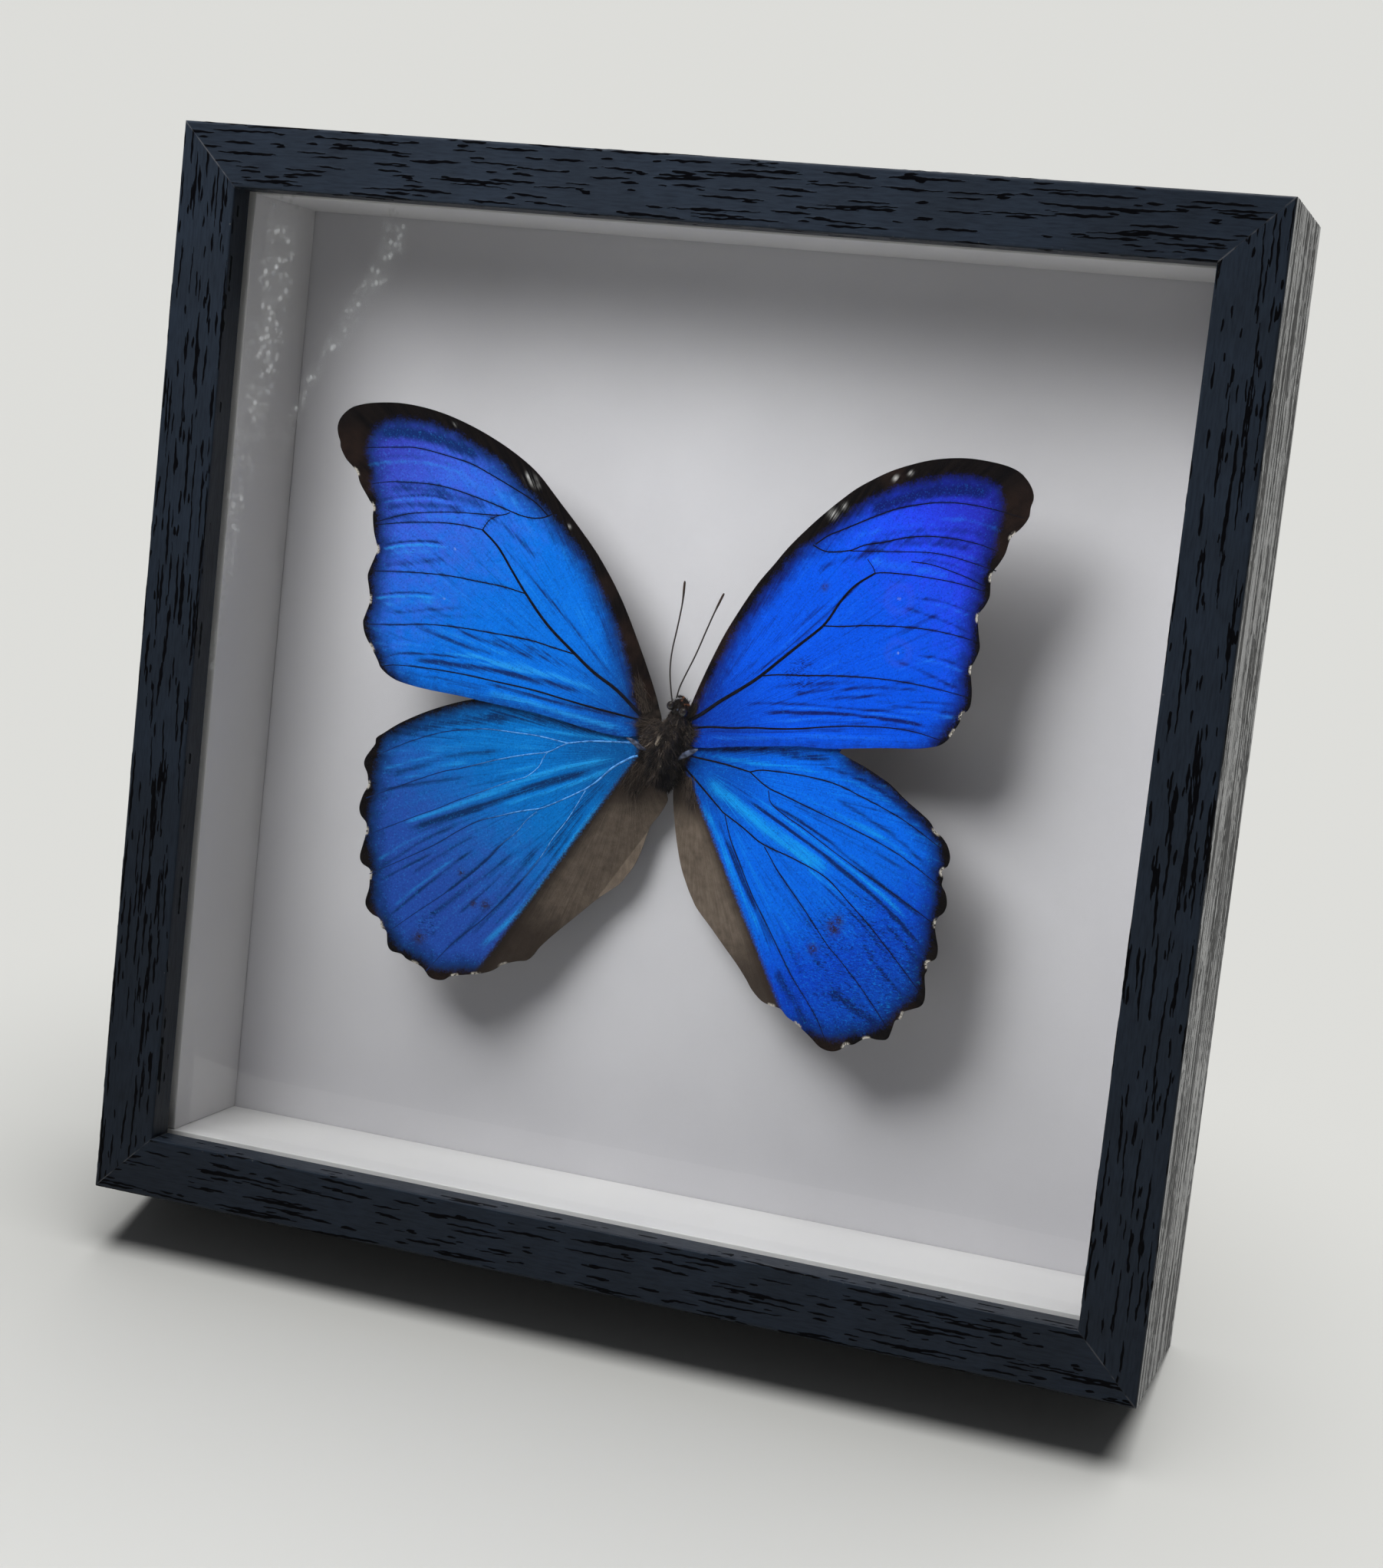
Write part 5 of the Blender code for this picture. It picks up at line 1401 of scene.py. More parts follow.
body = {
    "eggs": {  # middle and half sizes
        "thorax": ((-2.5, 24.6, -3.9), (3.1, 3.7, 6.7)),
        "head": ((-0.4, 23.9, 4.5), (1.7, 1.8, 2.2)),
        "neck": ((-0.9, 24.4, 1.6), (2.2, 2.3, 2.8)),
        "wing_root_left": ((-5.6, 24.8, -1.9), (2.5, 1.3, 3.4)),
        "wing_root_right": ((1.0, 24.8, -1.2), (1.9, 1.3, 3.3)),
        "lobe_root": ((-2.0, 25.9, -10.0), (1.9, 1.0, 2.6)),
    },
    "lean": 0.16,  # the thorax leans this much to the right at its head
    "eyes": [((-2.05, 22.5, 4.95), 0.85), ((0.9, 22.1, 3.9), 0.95)],
    "browSpot": ((-0.3, 22.0, 4.3), (0.18, 0.15, 0.24)),
    "hairs": 9000,
    "headHairs": 900,
    "hairLength": (0.7, 2.3),
    "hairWidth": 0.045,
    "tufts": {  # how far the hair leans sideways, and how many hairs
        "neck": (0.2, 1800),
        "wing_root_left": (-0.3, 2200),
        "wing_root_right": (0.3, 1700),
        "lobe_root": (0.1, 1800),
    },
    "lock": ((-3.6, 20.9, -3.2), (0.28, -0.14, 1.0), 70),  # root, way and number of pale hairs
    "palps": {
        "outer": [(-0.7, 22.6, 6.9), (0.3, 22.4, 7.0), (1.2, 22.4, 6.3), (1.8, 22.7, 5.2), (1.9, 23, 4.2)],
        "inner": [(-0.5, 22.5, 6.2), (0.3, 22.4, 6.2), (0.9, 22.4, 5.7), (1.3, 22.7, 4.8)],
    },
    "palpGirth": 0.27,
    "antennae": {
        "left": [
            (-1.9, 22.8, 5.6), (-2.6, 22.9, 8.5), (-3.2, 23, 12), (-3.2, 23, 16), (-2.6, 23, 21),
            (-2.1, 23, 26), (-2.1, 23, 30.4),
        ],
        "right": [
            (-1.1, 22.8, 6.6), (-0.7, 22.9, 8.8), (0.2, 23, 11.4), (2, 23, 16), (3.8, 23, 21.5),
            (5, 23, 25), (6.5, 23, 28.9),
        ],
    },
    "antennaRadius": 0.16,
    "clubRadius": 0.25,
    "antennaRings": 48,
    "seed": 21,
    "hair": ((0.004, 0.003, 0.0028), (0.088, 0.066, 0.053)),
    "paleHair": (0.30, 0.25, 0.20),
    "skin": ((0.004, 0.0032, 0.003), (0.018, 0.013, 0.011)),
    "eye": ((0.006, 0.005, 0.005), (0.02, 0.016, 0.014)),
    "palpBands": ((0.004, 0.003, 0.003), (0.20, 0.07, 0.03)),
    "plateColours": ((0.008, 0.011, 0.025), (0.075, 0.09, 0.14)),
    "antennaBands": ((0.012, 0.010, 0.009), (0.045, 0.036, 0.032)),
    "club": (0.035, 0.020, 0.014),
}


def lumpyEgg(middle, radii, rows, columns, lump, rng):
    # an ellipsoid swollen and sunk by a few broad waves, closed by one point at each pole
    down = np.linspace(0, math.pi, rows + 2)[1:-1][:, None]
    around = np.arange(columns)[None] * math.tau / columns
    unit = np.stack(
        (np.sin(down) * np.cos(around), np.sin(down) * np.sin(around), np.cos(down) + 0 * around), -1
    ).reshape(-1, 3)
    unit = np.vstack((unit, [[0, 0, 1]], [[0, 0, -1]]))
    swell = np.ones(len(unit))
    for _ in range(7):
        wave = rng.normal(0, 3.2, 3)
        swell += lump * np.sin(unit @ wave + rng.uniform(0, math.tau)) / 2.6
    points = np.array(middle) + unit * np.array(radii) * swell[:, None]
    return points, closedFaces(rows, columns), unit


def strands(roots, ways, bends, lengths, widths):
    # hairs of three sides: each runs out along its way and turns towards its bend as it goes,
    # thins to a point, and is closed at its root
    shares = np.array([0, 0.34, 0.68, 1])[None, :, None]
    path = roots[:, None] + lengths[:, None, None] * (
        ways[:, None] * shares + bends[:, None] * shares**2
    )
    side = unitRows(np.cross(ways, bends + 0.01))
    other = unitRows(np.cross(ways, side))
    turn = np.arange(3) * math.tau / 3
    out = side[:, None] * np.cos(turn)[None, :, None] + other[:, None] * np.sin(turn)[None, :, None]
    thin = np.array([1, 0.85, 0.5])[None, :, None, None] * widths[:, None, None, None]
    rings = path[:, :3, None] + out[:, None] * thin
    points = np.concatenate((rings.reshape(len(roots), 9, 3), path[:, 3:]), 1)
    quads, tips = [], []
    for ring in (0, 3):
        for i in range(3):
            quads.append((ring + i, ring + (i + 1) % 3, ring + 3 + (i + 1) % 3, ring + 3 + i))
    for i in range(3):
        tips.append((6 + i, 6 + (i + 1) % 3, 9))
    tips.append((2, 1, 0))
    first = np.arange(len(roots))[:, None, None] * 10
    return (
        points.reshape(-1, 3),
        [(first + np.array(quads)).reshape(-1, 4), (first + np.array(tips)).reshape(-1, 3)],
    )


def furFinish():
    # brown hair: each hair has its own shade, a few of them pale
    finish, tree, shader = newFinish("body_hair", Roughness=0.62, Specular_IOR_Level=0.35)
    shade = mark(tree, "shade")
    colour = blendColour(tree, between(tree, shade, 0.0, 0.9), *body["hair"])
    colour = blendColour(tree, between(tree, shade, 0.955, 0.965), colour, body["paleHair"])
    tree.links.new(colour, shader.inputs["Base Color"])
    return finish


def skinFinish():
    # the dark horny skin under the hair
    finish, tree, shader = newFinish("body_skin", Roughness=0.55)
    lumps = noise(tree, casePlace(tree), 1.4, 4, 0.6)
    colour = blendColour(tree, between(tree, lumps, 0.35, 0.65), *body["skin"])
    tree.links.new(colour, shader.inputs["Base Color"])
    addBump(tree, shader, lumps, 0.25)
    return finish


def eyeFinish():
    # black glossy facets: darker at the middle of each cell
    finish, tree, shader = newFinish("eye_facets", Roughness=0.16)
    cells = node(tree, "ShaderNodeTexVoronoi", {"Vector": casePlace(tree), "Scale": 9.0})
    edge = between(tree, cells.outputs["Distance"], 0.2, 0.6)
    tree.links.new(blendColour(tree, edge, *body["eye"]), shader.inputs["Base Color"])
    return finish


def palpFinish():
    # orange-brown and black bands of short scales: a sine along the palp, frayed by noise
    finish, tree, shader = newFinish("palp_scales", Roughness=0.6)
    band = maths(tree, "SINE", maths(tree, "MULTIPLY_ADD", mark(tree, "share"), 17.0, -3.5))
    fray = maths(tree, "MULTIPLY_ADD", noise(tree, casePlace(tree), 3.0, 2), 2.0, -1.0)
    share = between(tree, maths(tree, "ADD", band, fray), 0.6, 1.1)
    tree.links.new(blendColour(tree, share, *body["palpBands"]), shader.inputs["Base Color"])
    return finish


def plateFinish():
    # clouded blue-grey horn
    finish, tree, shader = newFinish("wing_base_plate", Roughness=0.38)
    share = between(tree, noise(tree, casePlace(tree), 0.9, 3), 0.35, 0.65)
    tree.links.new(blendColour(tree, share, *body["plateColours"]), shader.inputs["Base Color"])
    return finish


def antennaFinish():
    # rings from a sine along the share, and a warmer club at the tip
    finish, tree, shader = newFinish("antenna_skin", Roughness=0.45)
    turns = body["antennaRings"] * math.tau
    ring = maths(tree, "SINE", maths(tree, "MULTIPLY", mark(tree, "share"), turns))
    colour = blendColour(tree, between(tree, ring, -0.6, 0.6), *body["antennaBands"])
    colour = blendColour(tree, between(tree, mark(tree, "share"), 0.84, 0.97), colour, body["club"])
    tree.links.new(colour, shader.inputs["Base Color"])
    return finish


def hairsOn(points, normals, flow, count, rng, rise=0.55):
    # hairs rooted on given points: way = rise x normal + half the flow, both a little scattered
    pick = rng.integers(0, len(points), count)
    roots = points[pick] + rng.normal(0, 0.12, (count, 3))
    away = unitRows(normals[pick] + rng.normal(0, 0.3, (count, 3)))
    along = flow[pick] + rng.normal(0, 0.28, (count, 3))
    ways = rise * away + 0.5 * along
    bends = 0.35 * along - 0.12 * away + rng.normal(0, 0.13, (count, 3))
    low, high = body["hairLength"]
    lengths = low + (high - low) * rng.random(count) ** 1.4
    widths = body["hairWidth"] * rng.uniform(0.6, 1.2, count)
    return strands(roots - 0.1 * away, ways, bends, lengths, widths)


def tube(line, radii, sides=12):
    # a round tube along a line, closed at both ends by a point; its share runs 0 to 1
    way = unitRows(np.gradient(line, axis=0))
    side = unitRows(np.cross(way, (0.1, 1, 0.05)))
    other = np.cross(way, side)
    turn = np.arange(sides) * math.tau / sides
    ring = side[:, None] * np.cos(turn)[None, :, None] + other[:, None] * np.sin(turn)[None, :, None]
    points = (line[:, None] + ring * radii[:, None, None]).reshape(-1, 3)
    start, finish = line[0] - way[0] * radii[0] * 0.5, line[-1] + way[-1] * radii[-1] * 0.7
    points = np.vstack((points, start, finish))
    share = np.concatenate((np.repeat(np.linspace(0, 1, len(line)), sides), (0, 1)))
    return points, closedFaces(len(line), sides), share


def hairPiece(name, hair, faces, finish, shade, mark="shade"):
    # each hair's ten points share one mark
    marks = {mark: np.repeat(shade, 10)}
    makePiece(name, hair, faces, [finish], "body_fur", marks=marks, smooth=False)


def buildTrunk(fur, rng):
    # lumpy eggs, each under hair that flows down and outwards; the hair between clumps, which are a
    # product of two sines, is darkened as painted shade
    skin = skinFinish()
    parts = {}
    for name, (middle, radii) in body["eggs"].items():
        points, faces, unit = lumpyEgg(middle, radii, 34, 48, 0.05, rng)
        tilt = np.array((body["lean"] * (1 if name == "thorax" else 0.4), 0, 0))
        points = points + (points[:, 2:3] - middle[2]) * tilt
        parts[name] = (points, unit)
        taken = [name] if name in ("thorax", "head") else []
        makePiece("body_" + name, points, faces, [skin], "body_fur", replaced=taken)
    points, unit = parts["thorax"]
    flow = np.stack((0.5 * unit[:, 0], -0.1 + 0 * unit[:, 0], -0.9 + 0 * unit[:, 0]), 1)
    count = body["hairs"]
    hair, faces = hairsOn(points, unit, flow, count, rng)
    # painted shade between clumps of hair
    clumpShade = np.sin(1.9 * hair[::10, 0] + 0.8 * hair[::10, 2]) * np.sin(1.5 * hair[::10, 2] - 0.9)
    clumpShade = 0.12 + 0.88 * smoothStep(-0.5, 0.9, clumpShade)
    shade = rng.random(count) * np.where(rng.random(count) < 0.04, 1, clumpShade)
    hairPiece("thorax_hair", hair, faces, fur, shade)

    root, way, count = body["lock"]
    roots = np.array(root) + rng.normal(0, 0.16, (count, 3))
    ways = np.array(way) + rng.normal(0, 0.13, (count, 3))
    bends = rng.normal(0, 0.15, (count, 3))
    lock, faces = strands(roots, ways, bends, rng.uniform(1.0, 2.0, count), np.full(count, 0.035))
    hairPiece("pale_lock", lock, faces, fur, np.ones(count))

    for name, (sideways, count) in body["tufts"].items():
        points, unit = parts[name]
        flow = np.tile((sideways, -0.1, -0.35), (len(unit), 1))
        hair, faces = hairsOn(points, unit, flow, count, rng, 0.35)
        hairPiece(name + "_hair", hair, faces, fur, rng.random(count) * 0.96)

    points, unit = parts["head"]
    clear = (unit[:, 2] < 0.75) & (np.abs(unit[:, 0]) < 0.8)
    flow = np.stack((0.3 * unit[:, 0], -0.3 + 0 * unit[:, 0], 0.5 + 0 * unit[:, 0]), 1)
    count = body["headHairs"]
    hair, faces = hairsOn(points[clear], unit[clear], 0.4 * flow[clear], count, rng, 0.3)
    hairPiece("head_hair", hair, faces, fur, rng.random(count) * 0.2)


def buildFace(rng):
    # two eyes, a pale spot between them and two curled palps with a fringe of short scales
    facets = eyeFinish()
    for number, (middle, radius) in enumerate(body["eyes"], start=1):
        points, faces, _ = lumpyEgg(middle, (radius, radius, radius * 1.1), 22, 32, 0.0, rng)
        makePiece(f"eye_{number}", points, faces, [facets], "body_fur")
    pale, faces, _ = lumpyEgg(*body["browSpot"], 12, 18, 0.02, rng)
    makePiece("brow_spot", pale, faces, [plateFinish()], "body_fur")

    bands = palpFinish()
    stations, beside = 60, 9
    share = np.linspace(0, 1, stations)
    count = stations * beside
    for name, knots in body["palps"].items():
        line = smoothLine(knots, stations)
        girth = body["palpGirth"] * np.sin(math.pi * (0.12 + 0.8 * share)) ** 0.6
        points, faces, along = tube(line, girth, 14)
        makePiece("palp_" + name, points, faces, [bands], "body_fur", marks={"share": along})
        way = unitRows(np.gradient(line, axis=0))
        out = unitRows(line - line.mean(0))
        roots = np.repeat(line, beside, 0) + rng.normal(0, 0.16, (count, 3))
        ways = np.repeat(out, beside, 0) * 0.8 + rng.normal(0, 0.25, (count, 3))
        bends = np.repeat(way, beside, 0) * 0.4
        hair, faces = strands(roots, ways, bends, rng.uniform(0.12, 0.4, count), np.full(count, 0.03))
        hairPiece(f"palp_{name}_fringe", hair, faces, bands, np.repeat(share, beside), "share")


def buildAntennae():
    # thin ringed tubes whose last tenth thickens to a club: radius x (1 + 0.05 sin of the rings)
    finish = antennaFinish()
    share = np.linspace(0, 1, 150)
    thin, thick = body["antennaRadius"], body["clubRadius"]
    girth = thin + (thick - thin) * smoothStep(0.8, 0.93, share)
    girth = girth * (1 + 0.05 * np.sin(share * body["antennaRings"] * math.tau))
    girth = girth * smoothStep(1.03, 0.97, share) ** 0.5
    for side, knots in body["antennae"].items():
        points, faces, along = tube(smoothLine(knots, 150), girth)
        makePiece(
            f"feeler_{side}", points, faces, [finish], "antenna", replaced=[f"antenna_{side}"],
            marks={"share": along},
        )


bases = {
    # start, way, spread across, length along, wing, hairs
    "hair": [
        ((-7.6, 2.6), (-0.42, 1.0), 1.3, 6.0, leftFore, 500),
        ((-6.6, -0.4), (-1.0, 0.25), 1.3, 1.6, leftFore, 380),
        ((1.4, 2.4), (0.5, 1.0), 0.7, 2.6, rightFore, 320),
        ((1.2, -0.4), (1.0, 0.15), 1.5, 1.2, rightFore, 300),
        ((-7.6, -8.5), (-0.45, -1.0), 2.0, 5.6, leftHind, 900),
        ((2.0, -9.5), (0.3, -1.0), 1.5, 5.0, rightHind, 800),
    ],
    "plates": {  # middle line, and half width
        "left": ([(-11.0, 23.2, -3.0), (-9.4, 22.9, -3.6), (-7.8, 22.8, -4.5), (-6.5, 22.9, -4.9)], 0.55),
        "right": ([(0.6, 22.9, -5.9), (1.7, 22.5, -5.0), (3.1, 22.6, -4.1), (4.6, 23.0, -3.3)], 0.62),
    },
    "plateLevel": 22.9,
    "plateFlatness": 0.45,
}


def buildBases(fur, rng):
    # hair that spreads from the thorax over the roots of the wings and down the inner lobes,
    # and at each hindwing's root a pale plate: a tube pressed flat towards its level
    starts, flows = [], []
    for start, way, spread, long, spec, count in bases["hair"]:
        way = np.array(way) / math.hypot(*way)
        across = np.array((-way[1], way[0]))
        share = rng.random(count) ** 1.3
        place = np.array(start) + way * (share * long)[:, None]
        place = place + across * (rng.normal(0, 0.45, count) * spread)[:, None]
        level = wingDepth(place, spec) - 0.1
        starts.append(np.stack((place[:, 0], level, place[:, 1]), 1))
        flows.append(np.tile((way[0], -0.12, way[1]), (count, 1)))
    starts, flows = np.vstack(starts), np.vstack(flows)
    count = len(starts)
    ways = flows + rng.normal(0, 0.16, (count, 3))
    bends = rng.normal(0, 0.18, (count, 3)) + (0, 0.08, 0)
    lengths = rng.uniform(1.2, 3.2, count)
    hair, faces = strands(starts, ways, bends, lengths, rng.uniform(0.025, 0.045, count))
    hairPiece("wing_base_hair", hair, faces, fur, rng.random(count) * 0.96)

    plate = plateFinish()
    share = np.linspace(0, 1, 40)
    for side, (knots, wide) in bases["plates"].items():
        girth = wide * np.sin(math.pi * (0.04 + 0.92 * share)) ** 0.75
        points, faces, _ = tube(smoothLine(knots, 40), girth, 18)
        level = bases["plateLevel"]
        points[:, 1] = level + (points[:, 1] - level) * bases["plateFlatness"]
        makePiece(f"base_plate_{side}", points, faces, [plate], "body_fur")


post = {
    "middle": (-3.0, -4.0),
    "low": 28.4,  # inside the thorax
    "high": 35.75,  # on the card
    "radii": (2.0, 2.2, 2.2, 2.5, 2.9, 2.9),
    "colours": ((0.86, 0.87, 0.87), (0.76, 0.77, 0.77)),
}


def clearFinish():
    # clear acrylic, slightly cloudy where it was cut
    finish, tree, shader = newFinish("clear_acrylic", Roughness=0.12, Transmission_Weight=0.85, IOR=1.49)
    cloud = between(tree, noise(tree, casePlace(tree), 0.8, 3), 0.35, 0.7)
    tree.links.new(blendColour(tree, cloud, *post["colours"]), shader.inputs["Base Color"])
    return finish


def buildPost():
    # a round post that widens to a foot on the card: rings of the radii at six levels
    low, high = post["low"], post["high"]
    deep = np.array([low, low + 0.2, high - 0.9, high - 0.5, high - 0.15, high])
    wide = np.array(post["radii"])[:, None]
    turn = np.arange(48) * math.tau / 48
    x, z = post["middle"]
    y = np.repeat(deep[:, None], 48, 1)
    rings = np.stack((x + wide * np.cos(turn), y, z + wide * np.sin(turn)), -1).reshape(-1, 3)
    ends = [list(range(48)), list(range(5 * 48, 6 * 48))]
    makePiece(
        "clear_post", rings, (gridFaces(6, 48, closeColumns=True), ends), [clearFinish()], "post",
        replaced=["specimen_post"],
    )


rng = np.random.default_rng(body["seed"])
fur = furFinish()
buildTrunk(fur, rng)
buildFace(rng)
buildAntennae()
buildBases(fur, rng)
buildPost()
print("body ready")

stand = {
    "open": 38,  # degrees between the case and the strut
    "boardFront": -1.5,  # the strut's faces, behind the hinge axis
    "boardRear": 0.9,
    "top": -6.0,
    "topHalf": 17.0,
    "footHalf": 31.0,
    "corner": 4.0,
    "ease": 0.45,
    "boardColour": (0.010, 0.010, 0.011),
    "backingFront": 38.6,
    "backingRear": 43.8,
    "backingEase": 0.4,
    "backingColour": (0.060, 0.036, 0.022),
    "zinc": (0.58, 0.59, 0.62),
    "buttonAlong": 52,  # from the middle of each rail
    "buttonReach": 11,
    "buttonHalf": 3.5,
    "buttonFront": 44.3,
    "buttonRear": 45.3,
    "screwHead": 2.6,
    "slotHalf": 0.42,
    "slotDepth": 0.45,
    "slotWay": (0.8, 0.6),
    "rivetRadius": 1.9,
    "rivetRise": 0.9,
    "plateRear": 45.2,
    "plateRivets": ((-9, 8), (9, 8), (-9, 16), (9, 16)),  # across, and up from the hinge axis
    "leafRear": 2.3,
    "leafRivets": ((-6, 20), (6, 20), (0, 12)),  # across, and down from the hinge axis
    "pinEnd": 12.1,
    "pinRadius": 0.9,
    "pinHead": 1.5,
}


def strutPlace(points):
    # from the strut's own measures (y behind its hinge axis, z up) to the upright case's
    points = np.asarray(points, float)
    c, s = math.cos(math.radians(stand["open"])), math.sin(math.radians(stand["open"]))
    y = points[..., 1] * c - points[..., 2] * s + case["depth"] + case["axisOut"]
    z = points[..., 1] * s + points[..., 2] * c + case["axisUp"] - half
    return np.stack((points[..., 0], y, z), -1)


def plateRings(outline, front, rear, ease):
    # a flat plate with eased rims: the outline is drawn in by a quarter round at both faces;
    # each point is drawn in along the half-way line of its corner
    ring = np.array(outline, float)
    back, ahead = unitRows(ring - np.roll(ring, 1, 0)), unitRows(np.roll(ring, -1, 0) - ring)
    inward = np.stack((-(back + ahead)[:, 1], (back + ahead)[:, 0]), 1)
    inward /= (np.linalg.norm(inward, axis=1) ** 2 / 2)[:, None]
    turn = np.linspace(0, math.pi / 2, 5)
    drawn = np.concatenate((ease * (1 - np.sin(turn)), ease * (1 - np.cos(turn))))
    deep = np.concatenate((front + ease * (1 - np.cos(turn)), rear - ease * (1 - np.sin(turn))))
    flat = ring[None] + inward[None] * drawn[:, None, None]
    points = np.stack((flat[..., 0], np.broadcast_to(deep[:, None], flat.shape[:2]), flat[..., 1]), -1)
    count = len(ring)
    ends = [list(range(count)), list(range((len(drawn) - 1) * count, len(drawn) * count))]
    return points.reshape(-1, 3), (gridFaces(len(drawn), count, closeColumns=True), ends)


def lathe(profile, sides, axis=1):
    # a profile of (along, radius) turned round an axis, closed by a point at each end
    profile = np.array(profile, float)
    turn = np.arange(sides) * math.tau / sides
    along = np.repeat(profile[:, :1], sides, 1)
    across, up = profile[:, 1:2] * np.cos(turn), profile[:, 1:2] * np.sin(turn)
    order = (across, along, up) if axis == 1 else (along, across, up)
    tips = np.zeros((2, 3))
    tips[:, axis] = profile[[0, -1], 0]
    points = np.vstack((np.stack(order, -1).reshape(-1, 3), tips))
    return points, closedFaces(len(profile), sides)


def zincFinish(name, tarnish=0.0):
    # plated steel with fine rolling streaks and a little dull bloom
    finish, tree, shader = newFinish(name, Metallic=1.0)
    where = casePlace(tree)
    bloom = noise(tree, where, 0.7, 4, 0.6)
    streak = noise(tree, casePlace(tree, (0.4, 3, 6)), 1.0, 3)
    dull = tuple(0.62 * c for c in stand["zinc"])
    colour = blendColour(tree, between(tree, bloom, 0.4, 0.7, 0, 0.7 + tarnish), stand["zinc"], dull)
    tree.links.new(colour, shader.inputs["Base Color"])
    tree.links.new(between(tree, streak, 0.3, 0.7, 0.26, 0.46), shader.inputs["Roughness"])
    addBump(tree, shader, streak, 0.01)
    return finish


def fibreFinish(name, colour, grain):
    # pressed board: matt, with a tiny pebbled tooth and loose pale fibres
    finish, tree, shader = newFinish(name, Roughness=0.82)
    where = casePlace(tree)
    pebble = noise(tree, where, grain, 3, 0.6)
    fibre = noise(tree, where, 0.6, 5, 0.7, 1.5)
    lighter = tuple(min(1, 2.2 * c) for c in colour)
    base = blendColour(tree, between(tree, pebble, 0.4, 0.7), colour, lighter)
    pale = tuple(3 * c for c in lighter)
    base = blendColour(tree, between(tree, fibre, 0.6, 0.72, 0, 0.4), base, pale)
    tree.links.new(base, shader.inputs["Base Color"])
    shader.inputs["Specular IOR Level"].default_value = 0.3
    addBump(tree, shader, pebble, 0.08)
    return finish


def buildBoards():
    # the backing board, and the strut: a tapered board with round top corners whose foot is
    # axis height / cos(its angle from the ground's upright) below the hinge
    low = (-clearHalf, stand["backingFront"], -clearHalf)
    high = (clearHalf, stand["backingRear"], clearHalf)
    points, faces = easedBox(low, high, stand["backingEase"], (40, 3, 40))
    fibre = fibreFinish("backing_fibre", stand["backingColour"], 1.1)
    makePiece("backing_sheet", points, (faces,), [fibre], "backing", replaced=["backing_board"])

    past = math.radians(stand["open"] - case["lean"])
    lean = math.radians(case["lean"])
    height = case["axisUp"] * math.cos(lean) - case["axisOut"] * math.sin(lean)
    foot = -height / math.cos(past)
    top, wide, corner = stand["top"], stand["topHalf"], stand["corner"]
    arc = np.linspace(0, math.pi / 2, 7)
    right = np.stack((wide - corner * (1 - np.sin(arc)), top - corner * (1 - np.cos(arc))), 1)
    feet = [(stand["footHalf"], foot), (-stand["footHalf"], foot)]
    outline = np.vstack((right, feet, right[::-1] * (-1, 1)))
    points, faces = plateRings(outline[::-1], stand["boardFront"], stand["boardRear"], stand["ease"])
    # the foot is cut to lie flat on the ground
    low = points[:, 2] < foot + 1
    points[low, 2] -= points[low, 1] * math.tan(past)
    board = fibreFinish("strut_fibre", stand["boardColour"], 2.4)
    makePiece(
        "strut_sheet", strutPlace(points), faces, [board], "strut_board", "strut", replaced=["strut"]
    )


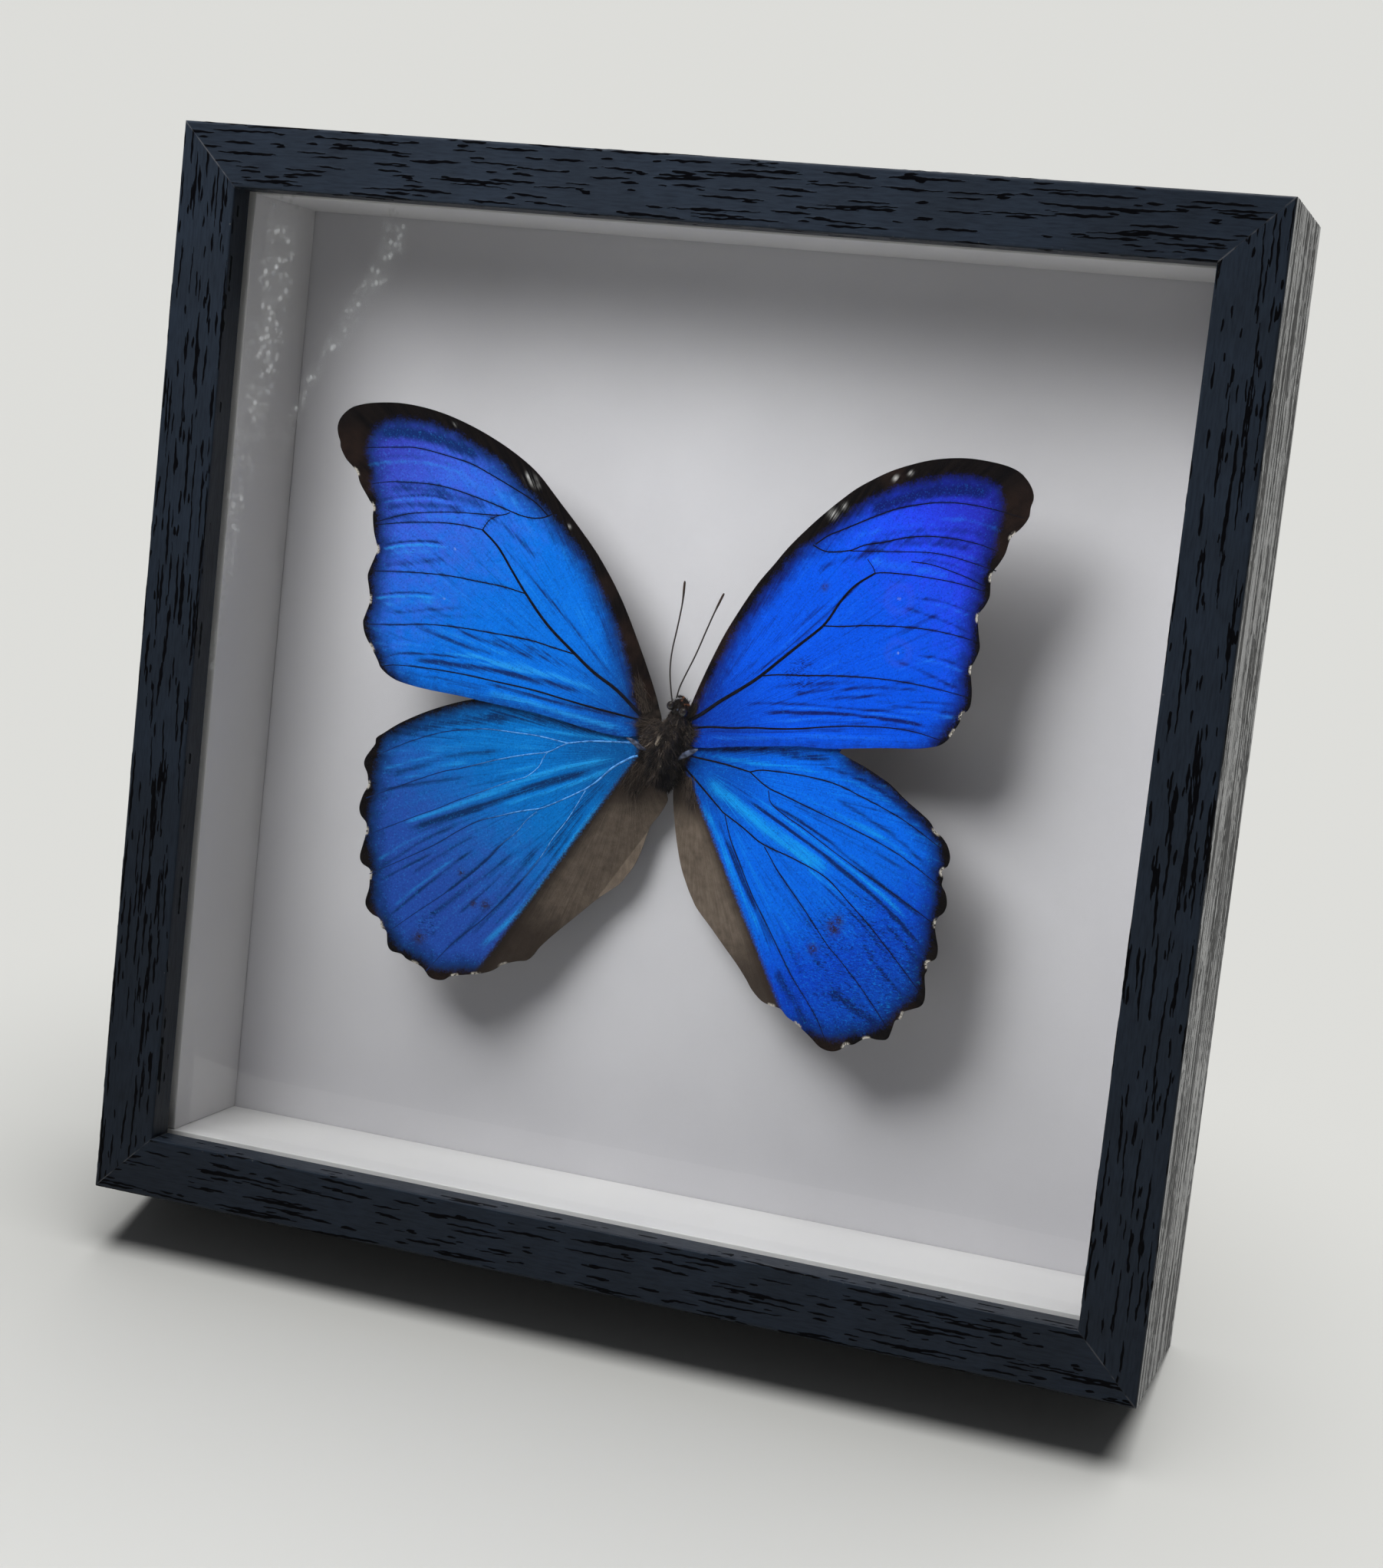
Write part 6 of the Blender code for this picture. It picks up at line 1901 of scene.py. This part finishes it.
def buildButtons(zinc):
    # a turn button on each rail: a plate with two round ends, and a domed screw whose points
    # near the slot's line are sunk
    turn = np.linspace(0, math.pi, 15)
    wide = stand["buttonHalf"]
    reach = stand["buttonReach"] - wide
    button = np.vstack((
        np.stack((wide * np.cos(turn), reach + wide * np.sin(turn)), 1),
        np.stack((-wide * np.cos(turn), -wide * np.sin(turn)), 1),
    ))
    seat = np.array((stand["buttonAlong"], 0, case["wall"] / 2 - half))
    swell = np.linspace(0, math.pi / 2, 7)[:-1]
    head, rear = stand["screwHead"], stand["buttonRear"] + 0.3
    profile = [(36.5, 0.35), (38.5, 1.1), (rear, 1.1), (rear, head - 0.1), (rear + 0.15, head)]
    profile += [(rear + 0.3 + math.sin(a), head * math.cos(a)) for a in swell]
    wayX, wayZ = stand["slotWay"]
    for quarter, side in enumerate(("bottom", "left", "top", "right")):
        plate, plateFaces = plateRings(button, stand["buttonFront"], stand["buttonRear"], 0.25)
        screw, screwFaces = lathe(profile, 40)
        away = np.abs(screw[:, 0] * wayX + screw[:, 2] * wayZ)
        slot = (screw[:, 1] > rear + 0.35) & (away < stand["slotHalf"])
        screw[slot, 1] -= stand["slotDepth"]
        for name, stands, points, faces in (
            ("turn_plate", "turn_button", plate, plateFaces),
            ("turn_plate_screw", "turn_button_screw", screw, screwFaces),
        ):
            makePiece(
                f"{name}_{side}", quarterTurn(points + seat, quarter), faces, [zinc], "fitting",
                replaced=[f"{stands}_{side}"], sharp=40,
            )


def buildRivets(zinc):
    # low domes on the hinge plate and on the strut's leaf, and the pin through both
    arc = np.linspace(0, math.pi / 2, 8)[:-1]
    wide, skirt = stand["rivetRadius"], 0.15
    rise = stand["rivetRise"] - skirt
    dome = [(0, wide), *((skirt + rise * math.sin(a), wide * math.cos(a)) for a in arc)]
    axis = case["axisUp"] - half
    for number, (x, up) in enumerate(stand["plateRivets"], start=1):
        points, faces = lathe(dome, 32)
        points = points + (x, stand["plateRear"], axis + up)
        name = f"plate_rivet_{number}"
        makePiece("dome_" + name, points, faces, [zinc], "hinge_metal", replaced=[name])
    for number, (x, down) in enumerate(stand["leafRivets"], start=1):
        points, faces = lathe(dome, 32)
        points = strutPlace(points + (x, stand["leafRear"], -down))
        name = f"leaf_rivet_{number}"
        makePiece("dome_" + name, points, faces, [zinc], "hinge_metal", "strut", replaced=[name])
    end, thin, head = stand["pinEnd"], stand["pinRadius"], stand["pinHead"]
    ends = [
        (end, thin), (end, head - 0.1), (end + 0.15, head), (end + 0.55, head - 0.05),
        (end + 0.8, head - 0.4),
    ]
    profile = [(-a, r) for a, r in reversed(ends)] + ends
    points, faces = lathe(profile, 32, axis=0)
    points = points + (0, case["depth"] + case["axisOut"], axis)
    makePiece("hinge_axle", points, faces, [zinc], "hinge_metal", replaced=["hinge_pin"])
    # the hinge's plate and leaf keep the frame's own meshes
    for name in ("hinge_plate", "strut_leaf"):
        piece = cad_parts[name]
        piece.data.materials.clear()
        piece.data.materials.append(zinc)


buildBoards()
buildButtons(zincFinish("zinc_fitting"))
buildRivets(zincFinish("hinge_zinc", 0.2))
print("back ready")
